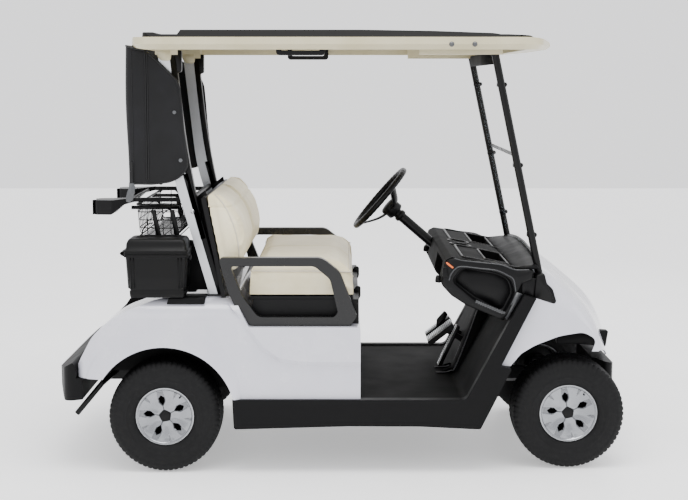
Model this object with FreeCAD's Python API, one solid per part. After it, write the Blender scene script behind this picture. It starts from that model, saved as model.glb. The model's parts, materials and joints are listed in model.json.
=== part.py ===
import FreeCAD, Part
import math
import os

V = FreeCAD.Vector

# Golf cart for two people with a roof and a bag cover behind. Millimetres, +X forward, +Y to the
# driver's side, +Z up, origin on the floor under the middle of the whole vehicle.
# Stations along the cart are distances ahead of the rear axle; ahead() turns them into X.
# Front parts take their stations from fore(), the distance ahead of the front axle.

# Overall layout
WHEELBASE = 1640.0
REAR_OVERHANG = 470.0
FRONT_OVERHANG = 250.0
BODY_HALF_WIDTH = 602.0
SEAT_GAP = 0.3
JOINT_GAP = 0.05

# Wheels, 18 x 8.5-8 turf tyres on steel rims with a slotted cover
TYRE_D = 457.0
TYRE_W = 212.0
TYRE_RIB = 3.0
REAR_TREAD = 976.0
FRONT_TREAD = 870.0
RIM_D = 232.0
RIM_WALL = 5.0
RIM_INSET = 32.0
DISC_INSET = 66.0
HUB_R = 38.0
HUB_LENGTH = 58.0
COVER_R = 116.0
COVER_T = 5.0
COVER_DISH = 15.0
COVER_BOSS_R = 22.0
COVER_SPOKES = 5
SLOT_R = 57.0
SLOT_W = 26.0
GROOVE_DEPTH = 3.0
SPINDLE_R = 14.0

# Steering and front suspension
KINGPIN_Y = 372.0
KINGPIN_R = 9.0
KNUCKLE_R = 24.0
KNUCKLE_H = 90.0
LUG_T = 14.0
LUG_R = 26.0
BEAM_H = 36.0
STEER_ARM_LENGTH = 60.0
STEER_ARM_DROP = 26.0
TIE_ROD_R = 8.0
TIE_PIN_R = 5.0
SHOCK_R = 26.0
SHOCK_TUBE_R = 14.0
SHOCK_COILS = 6

# Frame
RAIL_W = 50.0
RAIL_H = 70.0
RAIL_WALL = 4.0
RAIL_Y = 240.0
RAIL_FRONT_Y = 140.0
RAIL_REAR = -330.0
KICK_UP = 100.0
CROSS_H = 40.0
CROSS_W = 40.0
TOW_HOLE_R = 8.5
AXLE_TUBE_R = 32.0
GEAR_CASE_R = 88.0
EXHAUST_R = 11.0
EXHAUST_Y = 450.0

# Floor and sills
FLOOR_TOP = 298.0
FLOOR_T = 12.0
SILL_LIP = 7.0
SILL_HEIGHT = 113.0
SILL_T = 42.0
SILL_WALL = 5.0
TOE_RISE = 432.0

# Rear body
BODY_WALL = 5.0
FLARE = 17.0
STEP_OUT = 14.0
DECK_Z = 600.0
FENDER_TOP = 705.0
SHOULDER_R = 86.0
ARCH_R = 290.0
FLARE_R = 314.0
FLARE_LEAD = -4.0
FLARE_RISE = 84.0
WELL_WALL = 4.0
LINER_GAP = 1.0
WELL_FLOOR = 430.0
WELL_REAR = -300.0
WELL_FRONT = 110.0
WELL_SIDE_GAP = 24.0
SEAT_FRONT = 790.0

# Front body
COWL_WALL = 5.0
COWL_INSET = 34.0
COWL_SKIRT_Z = 426.0
BUMPER_DEPTH = 100.0

# Seat
SEAT_SIDE_GAP = 21.0
SEAT_BASE_H = 100.0
SEAT_BASE_WALL = 24.0
SEAT_BASE_REAR = 356.0
TRAY_T = 12.0
CUSHION_H = 134.0
CUSHION_REAR = 338.0
CUSHION_FRONT = 768.0
SEAT_HINGE_LIFT = 12.0
SEAT_HINGE_LEAD = 16.0
HINGE_PLATE_T = 8.0
HINGE_EAR_R = 10.0
SEAT_HINGE_R = 5.0
SEAT_PIN_Y = 300.0
BACK_SPLIT = 16.0

# Hip restraints
HIP_INSET = 30.0
HIP_T = 36.0
HIP_TOP = 876.0
HIP_BAR = 34.0

# Struts, roof and windshield
STRUT_INSET = 170.0
REAR_STRUT_W = 34.0
REAR_STRUT_D = 46.0
FRONT_STRUT_INSET = 102.0
FRONT_STRUT_R = 15.0
ROOF_OVERHANG = 100.0
ROOF_BOTTOM = 1696.0
ROOF_EDGE_H = 48.0
ROOF_BEVEL = 20.0
ROOF_LEDGE_H = 15.0
ROOF_TOP_H = 36.0
ROOF_REAR = -155.0
ROOF_FRONT_LEAD = -52.0
ROOF_BOW = 95.0
ROOF_INSET = 34.0
CROWN_INSET = 78.0
ROOF_WALL = 6.0
BRACKET_DROP = 18.0
BRACKET_HALF = 22.0
GLASS_T = 5.0
GLASS_GAP = 4.0
GLASS_SPLIT_Z = 1276.0
GLASS_LOW_Z = 880.0
GLASS_HIGH_Z = 1630.0
GRIP_R = 9.0

# Bag end
COVER_SHEET_T = 12.0
COVER_SIDE_GAP = 14.0
COVER_RISE = 8.0
BAG_COVER_REAR = -152.0
BAG_COVER_BOTTOM = 1160.0
RACK_BAR_R = 12.0
RACK_BAR_Z = 1085.0
RACK_ARM_W = 18.0
RACK_ARM_YS = (-300.0, 300.0)
RACK_ROOT = 92.0
RACK_BRACE_R = 6.0
REST_HALF_WIDTH = 60.0
BASKET_WALL = 4.0
BASKET_SIDE_GAP = 24.0
BASKET_DEPTH = 136.0
BOX_WALL = 6.0
BOX_LENGTH = 246.0
BOX_WIDTH = 172.0
BOX_FRONT = 100.0
BOX_LIP = 6.0
BOX_FOOT_T = 10.0
BOX_HEIGHT = 178.0
LID_H = 60.0
LID_PIN_R = 4.0

# Steering wheel and dash
WHEEL_RIM_R = 165.0
WHEEL_GRIP_R = 13.5
WHEEL_DISH = 82.0
COLUMN_Y = 262.0
COLUMN_R = 22.0
SHAFT_R = 9.0
COLUMN_TILT = 40.8
WHEEL_HUB_LEAD = -690.0
WHEEL_HUB_Z = 990.0
DASH_SIDE_GAP = 44.0
DASH_TOP = 877.0
DASH_RECESS = 40.0
DASH_TRAYS = ((-470.0, -150.0), (120.0, 470.0))
GLOVE_BOXES = ((-450.0, -150.0), (310.0, 430.0))
CUP_R = 40.0
CUP_DEPTH = 60.0
CUP_LEAD = -410.0
CUP_YS = (-60.0, 60.0)

# Engine
ENGINE_LENGTH = 330.0
ENGINE_HALF_WIDTH = 190.0
ENGINE_HEIGHT = 200.0
ENGINE_LIFT = 8.0

# Places that follow from the sizes above
NOSE = WHEELBASE + FRONT_OVERHANG
REAR_AXLE_X = REAR_OVERHANG - (REAR_OVERHANG + NOSE) / 2
WHEEL_R = TYRE_D / 2
REAR_WHEEL_Y = REAR_TREAD / 2
FRONT_WHEEL_Y = FRONT_TREAD / 2
RAIL_FRONT = NOSE - BUMPER_DEPTH
RAIL_TOP = FLOOR_TOP - FLOOR_T
RAIL_BOTTOM = RAIL_TOP - RAIL_H
SILL_TOP = FLOOR_TOP + SILL_LIP
SILL_BOTTOM = SILL_TOP - SILL_HEIGHT
TOE_TOP_Z = FLOOR_TOP + TOE_RISE
HIP_OUTER = BODY_HALF_WIDTH - HIP_INSET
SEAT_HALF_WIDTH = HIP_OUTER - HIP_T - SEAT_SIDE_GAP
SEAT_BASE_TOP = DECK_Z + SEAT_BASE_H
CUSHION_TOP = SEAT_BASE_TOP + TRAY_T + CUSHION_H
SEAT_HINGE_X = CUSHION_FRONT + SEAT_HINGE_LEAD
SEAT_HINGE_Z = SEAT_BASE_TOP + SEAT_HINGE_LIFT
COWL_HALF_WIDTH = BODY_HALF_WIDTH - COWL_INSET
REAR_STRUT_Y = BODY_HALF_WIDTH - STRUT_INSET
FRONT_STRUT_Y = BODY_HALF_WIDTH - FRONT_STRUT_INSET
ROOF_HALF_WIDTH = FRONT_STRUT_Y + ROOF_OVERHANG
ROOF_EDGE_TOP = ROOF_BOTTOM + ROOF_EDGE_H
ROOF_TOP = ROOF_EDGE_TOP + ROOF_TOP_H
BRACKET_BOTTOM = ROOF_BOTTOM - BRACKET_DROP
WELL_HALF_WIDTH = REAR_WHEEL_Y - TYRE_W / 2 - WELL_SIDE_GAP
BASKET_HALF_WIDTH = REAR_STRUT_Y - REAR_STRUT_W / 2 - BASKET_SIDE_GAP
BOX_NEAR = BASKET_HALF_WIDTH + BASKET_SIDE_GAP + BOX_WIDTH
BOX_REAR = BOX_FRONT - BOX_LENGTH
BOX_LID_Z = FENDER_TOP + BOX_FOOT_T + BOX_HEIGHT
BOX_TOP = BOX_LID_Z + LID_H
DASH_HALF_WIDTH = BODY_HALF_WIDTH - DASH_SIDE_GAP


def ahead(distance):
    return REAR_AXLE_X + distance


def fore(distance):
    """Station of a point that far ahead of the front axle."""
    return WHEELBASE + distance


FRONT_AXLE_X = ahead(WHEELBASE)


def box(x0, x1, y0, y1, z0, z1):
    return Part.makeBox(x1 - x0, y1 - y0, z1 - z0, V(x0, y0, z0))


def cylinder(start, axis, radius, length):
    return Part.makeCylinder(radius, length, start, axis)


def rod(start, end, radius):
    return Part.makeCylinder(radius, (end - start).Length, start, end - start)


def mirrored(shape):
    return shape.mirror(V(0, 0, 0), V(0, 1, 0))


def both_sides(shape):
    """The shape and its copy mirrored over the cart's middle plane."""
    return [shape, mirrored(shape)]


def moved(shape, x=0.0, y=0.0, z=0.0):
    copy = shape.copy()
    copy.translate(V(x, y, z))
    return copy


def joined(shapes):
    result = shapes[0].multiFuse(shapes[1:]) if len(shapes) > 1 else shapes[0]
    return result.removeSplitter()


def largest(shape):
    return max(shape.Solids, key=lambda s: s.Volume)


def corner_arc(before, corner, after, radius):
    """Tangent points and middle of the arc that rounds one corner of an outline."""
    back = (before - corner).normalize()
    on = (after - corner).normalize()
    half = back.getAngle(on) / 2
    reach = radius / math.tan(half)
    middle = corner + (back + on).normalize() * (radius / math.sin(half) - radius)
    return corner + back * reach, middle, corner + on * reach


def outline(points, place):
    """A closed wire through (a, b, radius) corners; place(a, b) puts them into space."""
    corners = [place(p[0], p[1]) for p in points]
    radii = [p[2] if len(p) > 2 else 0.0 for p in points]
    count = len(corners)
    stops = []
    for i in range(count):
        if radii[i] > 0:
            stops.append(corner_arc(corners[i - 1], corners[i], corners[(i + 1) % count], radii[i]))
        else:
            stops.append((corners[i], None, corners[i]))
    edges = []
    for i in range(count):
        start, middle, end = stops[i]
        if middle is not None:
            edges.append(Part.Arc(start, middle, end).toShape())
        following = stops[(i + 1) % count][0]
        if (following - end).Length > 1e-6:
            edges.append(Part.LineSegment(end, following).toShape())
    return Part.Wire(edges)


def side_slab(points, y0, y1):
    """A side outline of (station ahead of the rear axle, height, radius) between two widths."""
    wire = outline(points, lambda a, b: V(ahead(a), y0, b))
    return Part.Face(wire).extrude(V(0, y1 - y0, 0))


def plan_slab(points, z0, z1):
    """A plan outline of (station ahead of the rear axle, width, radius) between two heights."""
    wire = outline(points, lambda a, b: V(ahead(a), b, z0))
    return Part.Face(wire).extrude(V(0, 0, z1 - z0))


def section_slab(points, x0, x1):
    """A cross section of (width, height, radius) between two stations."""
    wire = outline(points, lambda a, b: V(ahead(x0), a, b))
    return Part.Face(wire).extrude(V(x1 - x0, 0, 0))


def mirrored_outline(half):
    """A whole plan outline from the half of it that lies on the far side."""
    return half + [(p[0], -p[1]) + tuple(p[2:]) for p in reversed(half)]


def revolve_y(points, y0, x, z):
    """Turn a (radius, depth) outline about a wheel axis along Y through x, z."""
    wire = outline(points, lambda a, b: V(x + a, y0 + b, z))
    return Part.Face(wire).revolve(V(x, y0, z), V(0, 1, 0), 360)


# Wheels


def tyre(x, y):
    """Turf tyre: beads on the rim, bulged walls with a raised rib, and a flat crown."""
    half = TYRE_W / 2
    bead = RIM_D / 2 + SEAT_GAP
    seat = half - RIM_INSET
    rib = (bead + WHEEL_R) / 2 - 20.0
    wall = [
        (bead, seat - 6.0), (bead, seat), (bead + 8.0, seat + 14.0, 10.0),
        (rib, half - TYRE_RIB, 30.0), (rib + 3.0, half), (rib + 8.0, half),
        (rib + 11.0, half - TYRE_RIB), (WHEEL_R - 26.0, half - 8.0, 24.0),
        (WHEEL_R - 16.0, half - 12.0), (WHEEL_R, half - 32.0, 12.0),
    ]
    points = wall + [(r[0], -r[1]) + tuple(r[2:]) for r in reversed(wall)]
    return revolve_y(points, y, x, WHEEL_R)


def rim():
    """Steel rim with its hub and pressed cover, at the origin and open to the far side."""
    half = TYRE_W / 2 - RIM_INSET
    outer = RIM_D / 2
    disc = TYRE_W / 2 - DISC_INSET
    barrel = revolve_y([
        (outer - RIM_WALL, -half), (outer, -half), (outer, half), (outer - RIM_WALL, half),
    ], 0.0, 0.0, 0.0)
    out = V(0, 1, 0)
    web = cylinder(V(0, disc, 0), out, outer - RIM_WALL / 2, RIM_WALL)
    hub = cylinder(V(0, disc - HUB_LENGTH, 0), out, HUB_R, HUB_LENGTH)
    solid = joined([barrel, web, hub, cover(half)])
    bore = cylinder(V(0, disc - HUB_LENGTH - 1.0, 0), out, SPINDLE_R + JOINT_GAP, HUB_LENGTH + 16.0)
    return solid.cut(bore)


def cover(seat):
    """Dished cover on the rim's edge: five slots with grooves, and five dents between them."""
    face = seat + COVER_T
    ring = COVER_R - 12.0
    low = face - COVER_DISH + 4.0
    dish = revolve_y([
        (0.0, face - 3.0), (COVER_BOSS_R - 4.0, face - 3.0, 3.0), (COVER_BOSS_R, low),
        (ring - 8.0, face - 4.0), (ring, face + 3.0), (COVER_R, face + 3.0, 2.0), (COVER_R, seat),
        (ring + 2.0, seat), (ring - 8.0, seat - 5.0), (COVER_BOSS_R, low - COVER_T), (0.0, low - COVER_T),
    ], 0.0, 0.0, 0.0)
    for i in range(COVER_SPOKES):
        angle = -90.0 + i * 360.0 / COVER_SPOKES
        dish = dish.cut(slot(angle, low))
        dish = dish.cut(dent(angle + 180.0 / COVER_SPOKES, face, ring))
    return dish


def wheel_prism(points, angle, y0, y1):
    """A (radius, side step) outline at an angle on the wheel's face, between two depths."""
    a = math.radians(angle)
    wire = outline(points, lambda r, w: V(r * math.cos(a) - w * math.sin(a), y0,
                                          r * math.sin(a) + w * math.cos(a)))
    return Part.Face(wire).extrude(V(0, y1 - y0, 0))


def slot(angle, low):
    """Five-sided slot that points at the hub, with a shallow groove on out to the ring."""
    half = SLOT_W / 2
    hole = [(SLOT_R - 15.0, 0.0), (SLOT_R - 4.0, -half), (SLOT_R + 12.0, -half + 3.0),
            (SLOT_R + 12.0, half - 3.0), (SLOT_R - 4.0, half)]
    reach = COVER_R - 14.0
    groove = [(SLOT_R, -half + 2.0), (reach, -half), (reach, half), (SLOT_R, half - 2.0)]
    depth = low + 4.0 - GROOVE_DEPTH
    return wheel_prism(hole, angle, 0.0, TYRE_W).fuse(wheel_prism(groove, angle, depth, TYRE_W))


def dent(angle, face, ring):
    """Three-sided dent that points inwards from the ring."""
    tip = [(ring - 32.0, 0.0), (ring - 2.0, -8.0), (ring - 2.0, 8.0)]
    return wheel_prism(tip, angle, face - 4.0 - GROOVE_DEPTH, TYRE_W)


def wheel_at(shape, x, y):
    """A wheel part from the origin to its place; the near side's is mirrored."""
    turned = shape if y > 0 else mirrored(shape)
    return moved(turned, x, y, WHEEL_R)


def spindle_end(y):
    """Where a spindle ends inside a wheel that is centred at y."""
    return y + TYRE_W / 2 - DISC_INSET - 6.0


def rear_axle():
    """Axle tube with its gear case and a spindle at each end."""
    hub_face = REAR_WHEEL_Y + TYRE_W / 2 - DISC_INSET - HUB_LENGTH
    reach = hub_face - 1.0
    tube = cylinder(V(REAR_AXLE_X, -reach, WHEEL_R), V(0, 1, 0), AXLE_TUBE_R, 2 * reach)
    end = spindle_end(REAR_WHEEL_Y)
    spindle = cylinder(V(REAR_AXLE_X, -end, WHEEL_R), V(0, 1, 0), SPINDLE_R, 2 * end)
    case = Part.makeSphere(GEAR_CASE_R, V(REAR_AXLE_X, GEAR_CASE_R * 0.7, WHEEL_R))
    trim = box(REAR_AXLE_X - TYRE_D, REAR_AXLE_X + TYRE_D, 0.0, GEAR_CASE_R * 1.4, 0.0,
               RAIL_TOP + ENGINE_LIFT - SEAT_GAP)
    return joined([tube, spindle, case.common(trim)])


def spring_leg(foot, head):
    """Coil-over damper: a tube with a row of coils, turned about its own line."""
    length = (head - foot).Length
    end = 26.0
    pitch = (length - 2 * end) / SHOCK_COILS
    core = SHOCK_TUBE_R
    points = [(0.0, 0.0), (core, 0.0), (core, end)]
    for i in range(SHOCK_COILS):
        z = end + i * pitch
        points += [(core + 2.0, z + pitch * 0.1), (SHOCK_R, z + pitch * 0.35),
                   (SHOCK_R, z + pitch * 0.65), (core + 2.0, z + pitch * 0.9)]
    points += [(core, length - end), (core, length), (0.0, length)]
    wire = outline(points, lambda a, b: V(a, 0, b))
    leg = Part.Face(wire).revolve(V(0, 0, 0), V(0, 0, 1), 360)
    turn = FreeCAD.Rotation(V(0, 0, 1), head - foot)
    leg.Placement = FreeCAD.Placement(foot, turn)
    return leg


def springs():
    """Rear coil-over legs from the axle tube up to ears on the rails."""
    y = RAIL_Y + RAIL_W / 2 + SHOCK_R + 7.0
    top = RAIL_TOP + KICK_UP
    foot = V(REAR_AXLE_X, y, WHEEL_R + AXLE_TUBE_R)
    head = V(REAR_AXLE_X, y, top - 12.0)
    ear = box(REAR_AXLE_X - 30.0, REAR_AXLE_X + 30.0, RAIL_Y + RAIL_W / 2, y + 22.0, top - 12.0, top)
    return both_sides(joined([spring_leg(foot, head), ear]))


# Frame


def frame_rail():
    """One box rail: kicked up over the rear axle and drawn in between the front wheels."""
    top = RAIL_TOP
    low = RAIL_BOTTOM
    bend = fore(-460.0)
    points = [
        (RAIL_REAR, low + KICK_UP), (RAIL_REAR, top + KICK_UP), (250.0, top + KICK_UP, 40.0),
        (400.0, top, 40.0), (bend, top), (bend, low), (392.0, low, 40.0),
        (242.0, low + KICK_UP, 40.0),
    ]
    outer = side_slab(points, RAIL_Y - RAIL_W / 2, RAIL_Y + RAIL_W / 2)
    t = RAIL_WALL
    core = [
        (RAIL_REAR - 1.0, low + KICK_UP + t), (RAIL_REAR - 1.0, top + KICK_UP - t),
        (248.0, top + KICK_UP - t), (398.0, top - t), (bend + 1.0, top - t), (bend + 1.0, low + t),
        (394.0, low + t), (244.0, low + KICK_UP + t),
    ]
    inner = side_slab(core, RAIL_Y - RAIL_W / 2 + t, RAIL_Y + RAIL_W / 2 - t)
    front = [
        (bend, RAIL_Y - RAIL_W / 2), (bend, RAIL_Y + RAIL_W / 2),
        (bend + 150.0, RAIL_FRONT_Y + RAIL_W / 2, 40.0), (RAIL_FRONT, RAIL_FRONT_Y + RAIL_W / 2),
        (RAIL_FRONT, RAIL_FRONT_Y - RAIL_W / 2), (bend + 150.0, RAIL_FRONT_Y - RAIL_W / 2, 40.0),
    ]
    return joined([outer.cut(inner), plan_slab(front, low, top)])


def cross_members():
    """Cross bars between the rails, outriggers to the sills and the tow bar's cross plate."""
    parts = []
    inner = RAIL_Y - RAIL_W / 2
    outer = RAIL_Y + RAIL_W / 2
    reach = BODY_HALF_WIDTH - SILL_T
    arms = (440.0, fore(-520.0))
    for station, lift in ((RAIL_REAR + 20.0, KICK_UP), (arms[0], 0.0), (780.0, 0.0), (arms[1], 0.0)):
        z = RAIL_TOP + lift
        x = ahead(station)
        parts.append(box(x, x + CROSS_W, -inner, inner, z - CROSS_H, z))
    front = RAIL_FRONT_Y - RAIL_W / 2
    tow = RAIL_FRONT - 28.0
    bar = box(ahead(tow - 25.0), ahead(tow + 25.0), -front, front, RAIL_TOP - CROSS_H, RAIL_TOP)
    hole = cylinder(V(ahead(tow), 0, 0), V(0, 0, 1), TOW_HOLE_R, 2 * RAIL_TOP)
    parts.append(bar.cut(hole))
    for station in arms:
        x = ahead(station)
        arm = box(x, x + CROSS_W, outer, reach, RAIL_TOP - CROSS_H, RAIL_TOP)
        parts += both_sides(arm)
    return parts


def engine():
    """Engine and gearbox as one block on its cross bar."""
    x = ahead(130.0)
    z = RAIL_TOP + ENGINE_LIFT
    block = box(x, x + ENGINE_LENGTH, -ENGINE_HALF_WIDTH, ENGINE_HALF_WIDTH, z, z + ENGINE_HEIGHT)
    foot = box(ahead(440.0), ahead(440.0) + 20.0, -120.0, 120.0, RAIL_TOP, z)
    return joined([block, foot])


def exhaust_pipe():
    """Tail pipe from a strap on the rail, out behind the near rear wheel and down."""
    rail_side = -RAIL_Y - RAIL_W / 2
    start = V(ahead(-246.0), rail_side - EXHAUST_R - 6.0, RAIL_TOP + KICK_UP - 34.0)
    bend = V(ahead(-272.0), -EXHAUST_Y, start.z - 12.0)
    tip = V(ahead(-378.0), -EXHAUST_Y, 213.0)
    parts = [rod(start, bend, EXHAUST_R), rod(bend, tip, EXHAUST_R)]
    parts += [Part.makeSphere(EXHAUST_R, p) for p in (start, bend)]
    parts.append(box(start.x - 12.0, start.x + 12.0, start.y, rail_side, start.z - 6.0, start.z + 6.0))
    return joined(parts)


def front_axle():
    """Cross beam under the rails with an arm and a forked lug at each kingpin."""
    parts = []
    root = LUG_R + 6.0
    beam = box(FRONT_AXLE_X - 30.0, FRONT_AXLE_X + 30.0, -KINGPIN_Y + root, KINGPIN_Y - root,
               RAIL_BOTTOM - BEAM_H, RAIL_BOTTOM)
    parts.append(beam)
    low = WHEEL_R - KNUCKLE_H / 2 - SEAT_GAP
    high = WHEEL_R + KNUCKLE_H / 2 + SEAT_GAP
    x0 = FRONT_AXLE_X - LUG_R
    x1 = FRONT_AXLE_X + LUG_R
    y0 = KINGPIN_Y - root - 28.0
    for z in (low - LUG_T, high):
        lug = cylinder(V(FRONT_AXLE_X, KINGPIN_Y, z), V(0, 0, 1), LUG_R, LUG_T)
        arm = box(x0, x1, y0, KINGPIN_Y, z, z + LUG_T)
        parts += both_sides(joined([lug, arm]))
    parts += both_sides(box(x0, x1, y0, KINGPIN_Y - root, low - LUG_T, high + LUG_T))
    solid = joined(parts)
    bore = cylinder(V(FRONT_AXLE_X, KINGPIN_Y, 0.0), V(0, 0, 1), KINGPIN_R + JOINT_GAP, 2 * TYRE_D)
    return solid.cut(bore).cut(mirrored(bore))


def knuckle():
    """Steered knuckle: barrel with its kingpin, wheel spindle and steering arm (far side)."""
    z = WHEEL_R - KNUCKLE_H / 2
    barrel = cylinder(V(FRONT_AXLE_X, KINGPIN_Y, z), V(0, 0, 1), KNUCKLE_R, KNUCKLE_H)
    reach = KNUCKLE_H / 2 + SEAT_GAP + LUG_T
    pin = cylinder(V(FRONT_AXLE_X, KINGPIN_Y, WHEEL_R - reach), V(0, 0, 1), KINGPIN_R, 2 * reach)
    spindle = cylinder(V(FRONT_AXLE_X, KINGPIN_Y, WHEEL_R), V(0, 1, 0), SPINDLE_R,
                       spindle_end(FRONT_WHEEL_Y) - KINGPIN_Y)
    z = WHEEL_R - STEER_ARM_DROP
    arm = box(FRONT_AXLE_X - STEER_ARM_LENGTH, FRONT_AXLE_X, KINGPIN_Y - 9.0, KINGPIN_Y + 9.0,
              z + TIE_ROD_R + SEAT_GAP, z + TIE_ROD_R + 10.0)
    eye = cylinder(V(FRONT_AXLE_X - STEER_ARM_LENGTH, KINGPIN_Y, z - TIE_ROD_R), V(0, 0, 1), TIE_PIN_R,
                   2 * TIE_ROD_R + 10.0)
    return joined([barrel, pin, spindle, arm, eye])


def tie_rod():
    """Rod that joins the two steering arms, with an eye at each end."""
    x = FRONT_AXLE_X - STEER_ARM_LENGTH
    z = WHEEL_R - STEER_ARM_DROP
    bar = cylinder(V(x, -KINGPIN_Y, z), V(0, 1, 0), TIE_ROD_R - 2.0, 2 * KINGPIN_Y)
    eye = cylinder(V(x, KINGPIN_Y, z - TIE_ROD_R), V(0, 0, 1), TIE_ROD_R + 3.0, 2 * TIE_ROD_R)
    hole = cylinder(V(x, KINGPIN_Y, z - TYRE_D / 4), V(0, 0, 1), TIE_PIN_R + JOINT_GAP, TYRE_D / 2)
    rod_body = joined([bar, eye, mirrored(eye)])
    return rod_body.cut(hole).cut(mirrored(hole))


# Floor and sills


def floor_pan():
    """Flat floor that turns up into the toe board."""
    t = FLOOR_T
    edge = BODY_HALF_WIDTH - SILL_T
    knee = FLOOR_TOP + 287.0
    points = [
        (SEAT_FRONT, FLOOR_TOP - t), (fore(-415.0), FLOOR_TOP - t, 40.0), (fore(-266.0), knee - t, 60.0),
        (fore(-188.0), TOE_TOP_Z - 5.0), (fore(-199.0), TOE_TOP_Z), (fore(-279.0), knee, 60.0),
        (fore(-423.0), FLOOR_TOP, 40.0), (SEAT_FRONT, FLOOR_TOP),
    ]
    return side_slab(points, -edge, edge)


def sill_outline():
    """Side view of a sill, with its leg up the edge of the toe board."""
    low = SILL_BOTTOM
    return [
        (275.0, SILL_TOP, 4.0), (fore(-426.0), SILL_TOP, 30.0), (fore(-279.0), FLOOR_TOP + 285.0, 60.0),
        (fore(-199.0), TOE_TOP_Z), (fore(-152.0), TOE_TOP_Z - 14.0), (fore(-288.0), 442.0),
        (fore(-244.0), 432.0, 6.0), (fore(-367.0), low - 8.0, 12.0), (fore(-611.0), low + 4.0, 200.0),
        (740.0, low + 5.0, 400.0), (281.0, low - 8.0, 10.0),
    ]


def sill():
    """Moulded sill, open on its inner side (far side of the cart)."""
    outer = BODY_HALF_WIDTH
    body = side_slab(sill_outline(), outer - SILL_T, outer)
    low = SILL_BOTTOM + SILL_WALL
    hollow = [
        (275.0 + 3 * SILL_WALL, SILL_TOP - SILL_WALL), (fore(-450.0), SILL_TOP - SILL_WALL),
        (fore(-378.0), low), (281.0 + 3 * SILL_WALL, low),
    ]
    return body.cut(side_slab(hollow, outer - SILL_T - 1.0, outer - SILL_WALL))


# Rear body


def rear_side(inset):
    """Side view of the rear body, drawn in by the inset and open below."""
    i = inset
    drop = 2 * abs(i)
    return [
        (RAIL_REAR - 22.0 + i, RAIL_TOP + KICK_UP + 2.0 - drop), (RAIL_REAR - 20.0 + i, 440.0, 30.0),
        (RAIL_REAR + 48.0 + i, 564.0, 200.0), (RAIL_REAR + 140.0 + i, 646.0 - i, 300.0),
        (-30.0, FENDER_TOP - i, 200.0),
        (290.0 - i, FENDER_TOP - i, 20.0), (344.0 - i, DECK_Z - i, 12.0),
        (SEAT_FRONT - i, DECK_Z - i, 16.0), (SEAT_FRONT - i, SILL_TOP - drop),
        (200.0, SILL_TOP - drop), (0.0, RAIL_TOP + KICK_UP + 2.0 - drop),
    ]


def rear_plan(inset, half_width):
    """Plan view of the rear body at a half width, with its rounded tail corners."""
    i = inset
    return mirrored_outline([(-364.0 + i, 400.0, 200.0), (-352.0 + i, half_width - 20.0, 60.0),
                             (-260.0 + i, half_width, 200.0), (SEAT_FRONT + 10.0, half_width)])


def rear_block(inset, half_width):
    """The rear body's form at one half width, rounded over the shoulders."""
    i = inset
    mass = side_slab(rear_side(i), -half_width - 20.0, half_width + 20.0)
    mass = mass.common(plan_slab(rear_plan(i, half_width), 200.0, FENDER_TOP + 10.0))
    wide = half_width + 1.0
    section = [
        (-wide, 200.0), (-wide, FENDER_TOP + 1.0 - i, SHOULDER_R),
        (wide, FENDER_TOP + 1.0 - i, SHOULDER_R), (wide, 200.0),
    ]
    return mass.common(section_slab(section, -400.0, SEAT_FRONT + 20.0))


def step_outline(inset, drop):
    """Side view of the proud panel under the seat, dropped to where its bevel starts."""
    i = inset
    d = drop
    return [
        (278.0 + i - d, 800.0), (278.0 + i - d, 697.0), (329.0 + i - d, 637.0, 60.0),
        (357.0 + i - d, 580.0, 60.0), (408.0 + i - 0.7 * d, 515.0 + i - 0.7 * d, 60.0),
        (468.0 + i, 474.0 + i - d, 60.0), (548.0, 462.0 + i - d, 60.0),
        (SEAT_FRONT + 40.0, 458.0 + i - d), (SEAT_FRONT + 40.0, 800.0),
    ]


def loft_between(first, second):
    return Part.makeLoft([first, second], True, True)


def rear_mass(inset):
    """The rear body's outer form: block, proud panel under the seat and wheel arch flare."""
    i = inset
    base = BODY_HALF_WIDTH - FLARE - i
    proud = base + STEP_OUT
    low = outline(step_outline(i, 22.0), lambda a, b: V(ahead(a), base - 1.0, b))
    high = outline(step_outline(i, 0.0), lambda a, b: V(ahead(a), proud, b))
    panel = loft_between(low, high)
    inner = outline(step_outline(i, 22.0), lambda a, b: V(ahead(a), 0.0, b))
    panel = panel.fuse(Part.Face(inner).extrude(V(0, base - 1.0, 0)))
    panel = panel.common(rear_block(i, proud))
    wide = BODY_HALF_WIDTH - i
    ring = circle_y(ahead(FLARE_LEAD), base - 1.0, WHEEL_R + FLARE_RISE, FLARE_R - i)
    lip = circle_y(REAR_AXLE_X, wide, WHEEL_R, ARCH_R + 6.0 - i)
    depth = SHOULDER_R
    root = cylinder(V(ahead(FLARE_LEAD), base - depth, WHEEL_R + FLARE_RISE), V(0, 1, 0), FLARE_R - i,
                    depth - 1.0)
    flare = loft_between(ring, lip).fuse(root)
    flare = flare.common(side_slab(rear_side(i), 0.0, wide + 20.0))
    flare = flare.common(plan_slab(rear_plan(i, wide), 200.0, FENDER_TOP + 10.0))
    return rear_block(i, base).multiFuse([panel, mirrored(panel), flare, mirrored(flare)])


def circle_y(x, y, z, radius):
    return Part.Wire(Part.makeCircle(radius, V(x, y, z), V(0, 1, 0)))


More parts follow.
